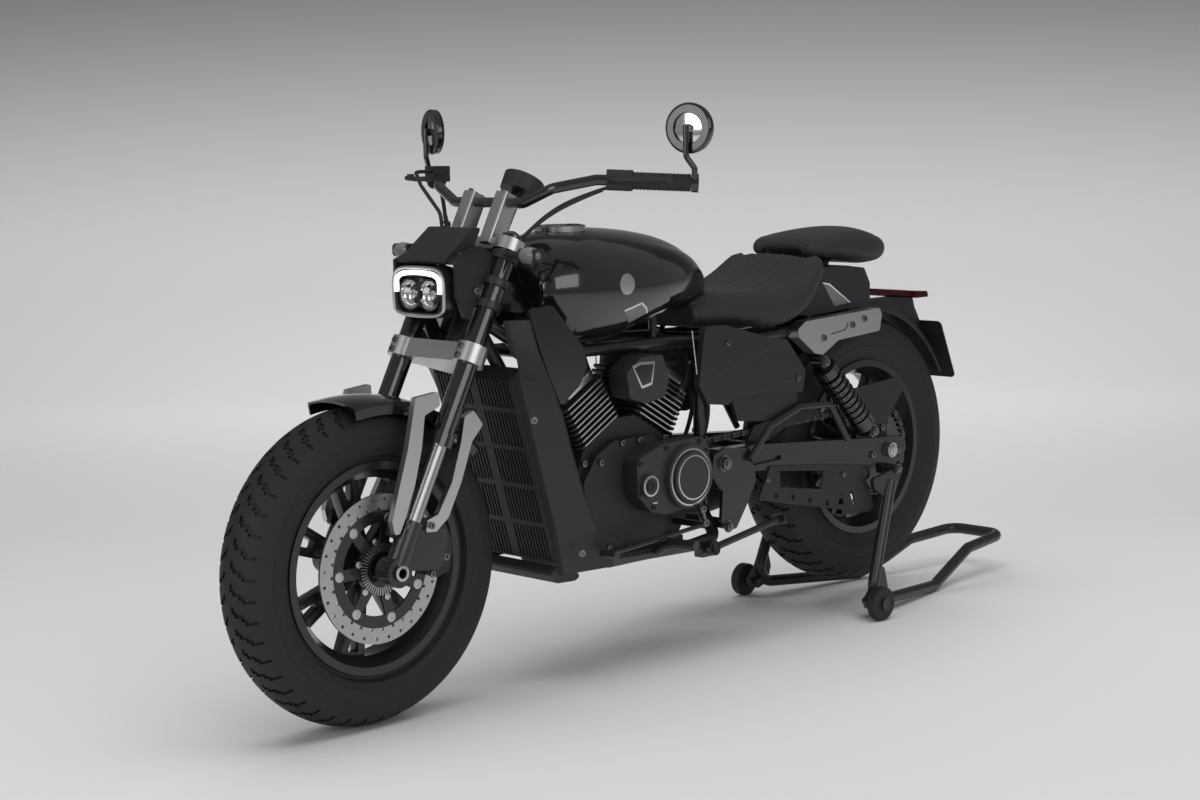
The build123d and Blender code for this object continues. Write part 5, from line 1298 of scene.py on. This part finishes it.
def sheet(points, y):
    """A flat outline in x and z, facing left at y, in millimetres."""
    deselect()
    bpy.ops.mesh.primitive_circle_add(vertices=len(points), radius=1, fill_type="NGON")
    flat = bpy.context.object
    for vertex, (x, z) in zip(flat.data.vertices, points):
        vertex.co = at(x, y, z)
    flat.data.update()
    if sum(face.normal.y for face in flat.data.polygons) * y < 0:
        only(flat)
        bpy.ops.object.mode_set(mode="EDIT")
        bpy.ops.mesh.select_all(action="SELECT")
        bpy.ops.mesh.flip_normals()
        leave()
    return flat


def circle_points(x, z, radius, count=40):
    return [(x + radius * cos(2 * pi * i / count), z + radius * sin(2 * pi * i / count)) for i in range(count)]


PATCH = [(917, 793), (868, 806), (849, 794), (842, 784), (888, 766)]
PATCH_LINE = [(919, 797), (867, 810), (845, 796), (837, 785), (842, 784), (849, 794), (868, 806), (917, 793)]


class MOTORCYCLE_OT_trim(bpy.types.Operator):
    """Makes the tank's plain badge and patches, the filler cap's ring and the side panels' lines"""

    bl_idname = "motorcycle.trim"
    bl_label = "Body trim"

    def execute(self, context):
        badges, patches, lines = [], [], []
        for side in (1, -1):
            badges.append(cling(sheet(circle_points(920, 852, 22), side * 220), "tank_panels", 0.0022, side))
            patches.append(cling(sheet(PATCH, side * 220), "tank_panels", 0.0005, side))
            lines.append(cling(sheet(PATCH_LINE, side * 220), "tank_panels", 0.0006, side))
        finish_piece(weld(badges), "tank_badges", "Cast silver", "chassis")
        finish_piece(weld(patches), "tank_patches", "Decal grey", "chassis")
        finish_piece(weld(lines), "tank_lines", "White line", "chassis")
        collar = [
            ring_round(0.046, 0.051, 0.0016, at(955, 0, 973.2), (0, 0, 1), 64, 0.0005),
            ring_round(0.028, 0.030, 0.0014, at(955, 0, 973.2), (0, 0, 1), 48, 0.0004),
            block((0.020, 0.030, 0.0035), at(918, 0, 974), 0.001),
        ]
        finish_piece(weld(collar), "filler_cap_rings", "Satin charcoal", "chassis")
        screws = [(at(955 + 39 * cos(turn), 39 * sin(turn), 973.6), (0, 0, 1)) for turn in (0.5, 1.75, 3.0, 4.25, 5.5)]
        finish_piece(set_out(socket_bolt(0.0036, 0.002), screws), "filler_cap_screws", "Bolt steel", "chassis")
        cover_lines, edges = [], []
        for side in (1, -1):
            y = side * 158
            cover_lines.append(run_of([at(663, y, 626), at(530, y, 658), at(399, y, 689)], 0.0011))
            cover_lines.append(run_of([at(600, y, 572), at(500, y, 584), at(396, y, 596)], 0.0011))
            edges.append(run_of([at(713, y * 0.99, 737), at(706, y * 0.99, 690), at(699, y * 0.99, 640)], 0.0016))
        finish_piece(weld(cover_lines), "side_cover_lines", "Gloss black", "chassis")
        finish_piece(weld(edges), "side_cover_edges", "Machined edge", "chassis")
        inserts, whites = [], []
        for side in (1, -1):
            inserts.append(slab([(205, 803), (187, 800), (111, 754), (166, 749)], side * 108.9, side * 1.2, 0.3))
            whites.append(slab([(209, 808), (184, 804), (104, 754), (110, 754), (187, 801), (206, 804)],
                               side * 109.2, side * 1.4, 0.2))
        finish_piece(weld(inserts), "tail_inserts", "Decal grey", "chassis")
        finish_piece(weld(whites), "tail_lines", "White line", "chassis")
        marks = [run_of([at(232, s * 152, 690), at(197, s * 152, 694), at(171, s * 152, 698), at(171, s * 152, 712)],
                        0.0014) for s in (1, -1)]
        finish_piece(weld(marks), "bracket_lines", "Satin charcoal", "chassis")
        bolts = [(at(x, s * 151.6, z), (0, s, 0)) for x, z in ((257, 683), (152, 706), (107, 717)) for s in (1, -1)]
        finish_piece(set_out(socket_bolt(0.008, 0.004), bolts), "bracket_bolts", "Bolt steel", "chassis")
        return {"FINISHED"}


# ---------------------------------------------------------------- controls
GRIP_START = (1048, 292, 1074)
GRIP_END = (950, 402, 1066)


class MOTORCYCLE_OT_controls(bpy.types.Operator):
    """Makes the grips' ribs, switches, mirror glasses, cables and the instrument's face"""

    bl_idname = "motorcycle.controls"
    bl_label = "Controls"

    def execute(self, context):
        ribs, rims, glasses, knobs = [], [], [], []
        for side in (1, -1):
            start = at(GRIP_START[0], side * GRIP_START[1], GRIP_START[2])
            end = at(GRIP_END[0], side * GRIP_END[1], GRIP_END[2])
            way = (end - start).normalized()
            for step in range(17):
                place = start.lerp(end, 0.10 + 0.050 * step)
                ribs.append(ring_round(0.0150, 0.0182, 0.0030, place, way, 28, 0.0008))
            toe = radians(18)
            back = Vector((-cos(toe), -side * sin(toe), 0))
            centre = at(962, side * 393, 1176)
            glass = round_bar(0.0460, 0.0012, 64, 0.0003)
            glass.matrix_world = Matrix.Translation(centre - back * 0.0004) @ turn_to(back)
            settle(glass)
            glasses.append(glass)
            dome = round_bar(0.0300, 0.0012, 56, 0.0004)
            dome.matrix_world = Matrix.Translation(centre - back * 0.0112) @ turn_to(-back)
            settle(dome)
            glasses.append(dome)
            rims.append(ring_round(0.0450, 0.0500, 0.0026, centre - back * 0.0008, back, 64, 0.0008))
            for offset, height in ((0.012, 0.016), (0.028, 0.010)):
                place = start - way * (0.004 + offset) + Vector((-0.006, 0, height))
                knobs.append(block((0.010, 0.009, 0.007), place, 0.0016))
        finish_piece(weld(ribs), "grip_ribs", "Hose rubber", "front_end")
        finish_piece(weld(glasses), "mirror_glasses", "Reflector", "front_end")
        finish_piece(weld(rims), "mirror_rims", "Gloss black", "front_end")
        finish_piece(weld(knobs), "switch_buttons", "Satin charcoal", "front_end")
        routes = (
            ((1070, 262, 1060), (1110, 205, 1040), (1150, 150, 1000), (1176, 96, 940), (1180, 60, 880), (1196, 40, 840)),
            ((1074, 252, 1056), (1118, 196, 1030), (1160, 140, 986), (1188, 92, 930), (1190, 54, 870), (1204, 34, 830)),
            ((1064, -262, 1060), (1104, -205, 1036), (1146, -150, 990), (1172, -100, 930), (1182, -60, 876),
             (1196, -38, 836)),
            ((1070, -254, 1056), (1112, -196, 1026), (1156, -138, 980), (1184, -90, 924), (1192, -54, 866),
             (1206, -30, 826)),
            ((1078, -246, 1060), (1124, -186, 1034), (1164, -126, 990), (1178, -84, 930), (1186, -70, 880),
             (1198, -46, 840)),
        )
        cables = [run_of([at(*point) for point in route], 0.0042 if i % 2 else 0.0034) for i, route in
                  enumerate(routes)]
        finish_piece(weld(cables), "control_cables", "Hose rubber", "front_end")
        ties = [ring_round(0.0085, 0.0105, 0.005, at(1153, -142, 984), (0.4, 0.5, -0.8), 24, 0.0006)]
        finish_piece(weld(ties), "cable_ties", "Moulded black", "front_end")
        lean = radians(32)
        face = Vector((-sin(lean), 0, cos(lean)))
        pod = at(1072, 0, 1046) + face * 0.034
        glass = round_bar(0.0372, 0.0016, 64, 0.0005)
        glass.matrix_world = Matrix.Translation(pod - face * 0.0014) @ turn_to(face)
        settle(glass)
        finish_piece(glass, "instrument_glass", "Instrument glass", "front_end")
        bezel = ring_round(0.0372, 0.0405, 0.0020, pod - face * 0.0008, face, 72, 0.0006)
        finish_piece(bezel, "instrument_bezel", "Machined edge", "front_end")
        return {"FINISHED"}


# ---------------------------------------------------------------- rests and stand
class MOTORCYCLE_OT_rests(bpy.types.Operator):
    """Makes the gear linkage and the stand's wheel bolts"""

    bl_idname = "motorcycle.rests"
    bl_label = "Rests and stand"

    def execute(self, context):
        rod = run_of([at(700, 170, 342), at(697, 171, 326), at(693, 172, 311)], 0.0040)
        ends = [
            ring_round(0.0040, 0.0090, 0.008, at(700, 166, 342), (0, 1, 0), 24, 0.001),
            ring_round(0.0040, 0.0090, 0.008, at(693, 168, 311), (0, 1, 0), 24, 0.001),
        ]
        finish_piece(weld([rod] + ends), "gear_linkage", "Bolt steel", "chassis")
        clamp = ring_round(0.0165, 0.0205, 0.016, at(604, 92, 280), (1, 0, 0), 32, 0.001)
        bpy.data.objects.remove(clamp)
        for side, body in ((1, "stand_wheel_left"), (-1, "stand_wheel_right")):
            nut = set_out(hex_nut(0.0085, 0.004), [(at(130, side * 229.2, 40), (0, side, 0))])
            finish_piece(nut, body + "_nut", "Bolt steel", body)
        return {"FINISHED"}


# ---------------------------------------------------------------- stage
class MOTORCYCLE_OT_stage(bpy.types.Operator):
    """Adds the floor, the softboxes and the camera"""

    bl_idname = "motorcycle.stage"
    bl_label = "Stage"

    def execute(self, context):
        studio = context.scene.studio_sizes
        bpy.ops.object.select_all(action="DESELECT")
        bpy.ops.mesh.primitive_plane_add(size=1, location=(0, 0, 0))
        floor = context.object
        floor.name = "studio_floor"
        floor.matrix_world = Matrix.Rotation(radians(45.47), 4, "Z") @ Matrix.Diagonal((16.0, 24.0, 1.0, 1.0))
        settle(floor)
        back = Vector((-cos(radians(45.47)), -sin(radians(45.47)), 0))
        only(floor)
        bpy.ops.object.mode_set(mode="EDIT")
        bpy.ops.mesh.select_mode(type="EDGE")
        bpy.ops.mesh.select_all(action="DESELECT")
        leave()
        for edge in floor.data.edges:
            middle = (floor.data.vertices[edge.vertices[0]].co + floor.data.vertices[edge.vertices[1]].co) / 2
            edge.select = middle.dot(back) > 7.0
        bpy.ops.object.mode_set(mode="EDIT")
        bpy.ops.mesh.extrude_region_move(TRANSFORM_OT_translate={"value": (0, 0, 9)})
        leave()
        for edge in floor.data.edges:
            ends = [floor.data.vertices[index].co for index in edge.vertices]
            edge.select = all(end.dot(back) > 7.0 and abs(end.z) < 0.01 for end in ends)
        bpy.ops.object.mode_set(mode="EDIT")
        bpy.ops.mesh.bevel(offset=3.2, segments=24, affect="EDGES")
        leave()
        floor.data.transform(Matrix.Translation((0, 0, -0.0005)))
        only(floor)
        bpy.ops.object.shade_smooth()
        backdrop_finish()
        wear_finish(floor, "Backdrop")
        world = context.scene.world or bpy.data.worlds.new("Studio")
        context.scene.world = world
        world.use_nodes = True
        world.node_tree.nodes["Background"].inputs["Color"].default_value = (0.62, 0.63, 0.65, 1.0)
        world.node_tree.nodes["Background"].inputs["Strength"].default_value = 0.35
        for name, place, aim, size, power in (
            ("Softbox above", (0.3, 0.4, 4.2), (0, 0, 0.5), (6.5, 4.0), studio.key_power),
            ("Softbox left", (1.4, 5.4, 2.4), (0, 0, 0.5), (5.0, 2.4), studio.side_power),
            ("Softbox front", (6.0, 0.6, 2.4), (0, 0, 0.5), (3.0, 3.0), studio.side_power),
            ("Softbox rear", (-3.2, -3.4, 3.2), (0, 0, 0.5), (4.0, 2.0), studio.side_power),
            ("Wall light", (-3.0, -3.05, 3.4), (-5.6, -5.7, 0.5), (12.0, 1.0), studio.wall_power),
        ):
            light = bpy.data.lights.new(name, "AREA")
            light.shape = "RECTANGLE"
            light.size, light.size_y = size
            light.energy = power
            lamp = bpy.data.objects.new(name, light)
            lamp.location = place
            lamp.rotation_euler = (Vector(aim) - Vector(place)).to_track_quat("-Z", "Y").to_euler()
            context.scene.collection.objects.link(lamp)
            lamp.visible_glossy = name not in ("Softbox above", "Softbox rear")
        yaw, pitch, roll = radians(-134.53), radians(7.25), 0.0184
        ahead = Vector((cos(pitch) * cos(yaw), cos(pitch) * sin(yaw), -sin(pitch)))
        right = ahead.cross(Vector((0, 0, 1))).normalized()
        down = ahead.cross(right)
        tilted_right = right * cos(roll) + down * sin(roll)
        tilted_down = down * cos(roll) - right * sin(roll)
        camera = bpy.data.objects.new("Camera", bpy.data.cameras.new("Camera"))
        context.scene.collection.objects.link(camera)
        camera.data.lens = studio.lens
        camera.data.sensor_width = 36.0
        turned = Matrix((tilted_right, -tilted_down, -ahead)).transposed().to_4x4()
        camera.matrix_world = Matrix.Translation((3.5215, 3.3668, 1.1867)) @ turned
        context.scene.camera = camera
        context.scene.view_settings.view_transform = "Standard"
        return {"FINISHED"}


# ---------------------------------------------------------------- panel
OPERATORS = (
    MOTORCYCLE_OT_finishes, MOTORCYCLE_OT_tyres, MOTORCYCLE_OT_seats, MOTORCYCLE_OT_wheels, MOTORCYCLE_OT_chain,
    MOTORCYCLE_OT_lamps, MOTORCYCLE_OT_engine, MOTORCYCLE_OT_trim, MOTORCYCLE_OT_controls, MOTORCYCLE_OT_rests,
    MOTORCYCLE_OT_fasteners, MOTORCYCLE_OT_stage,
)
SETTINGS = (
    ("tyre_sizes", TyreSizes), ("seat_sizes", SeatSizes), ("finish_colours", FinishColours),
    ("studio_sizes", StudioSizes),
)


class MOTORCYCLE_PT_parts(bpy.types.Panel):
    bl_idname = "MOTORCYCLE_PT_parts"
    bl_label = "Motorcycle"
    bl_space_type = "VIEW_3D"
    bl_region_type = "UI"
    bl_category = "Motorcycle"

    def draw(self, context):
        for operator in OPERATORS:
            self.layout.operator(operator.bl_idname)
        for name, group in SETTINGS:
            box = self.layout.box()
            for prop in group.__annotations__:
                box.prop(getattr(context.scene, name), prop)


def register():
    for name, group in SETTINGS:
        bpy.utils.register_class(group)
        setattr(bpy.types.Scene, name, bpy.props.PointerProperty(type=group))
    for operator in OPERATORS:
        bpy.utils.register_class(operator)
    bpy.utils.register_class(MOTORCYCLE_PT_parts)


def unregister():
    bpy.utils.unregister_class(MOTORCYCLE_PT_parts)
    for operator in reversed(OPERATORS):
        bpy.utils.unregister_class(operator)
    for name, group in reversed(SETTINGS):
        delattr(bpy.types.Scene, name)
        bpy.utils.unregister_class(group)


def main():
    register()
    for operator in OPERATORS:
        group, name = operator.bl_idname.split(".")
        getattr(getattr(bpy.ops, group), name)()


if __name__ == "__main__":
    main()
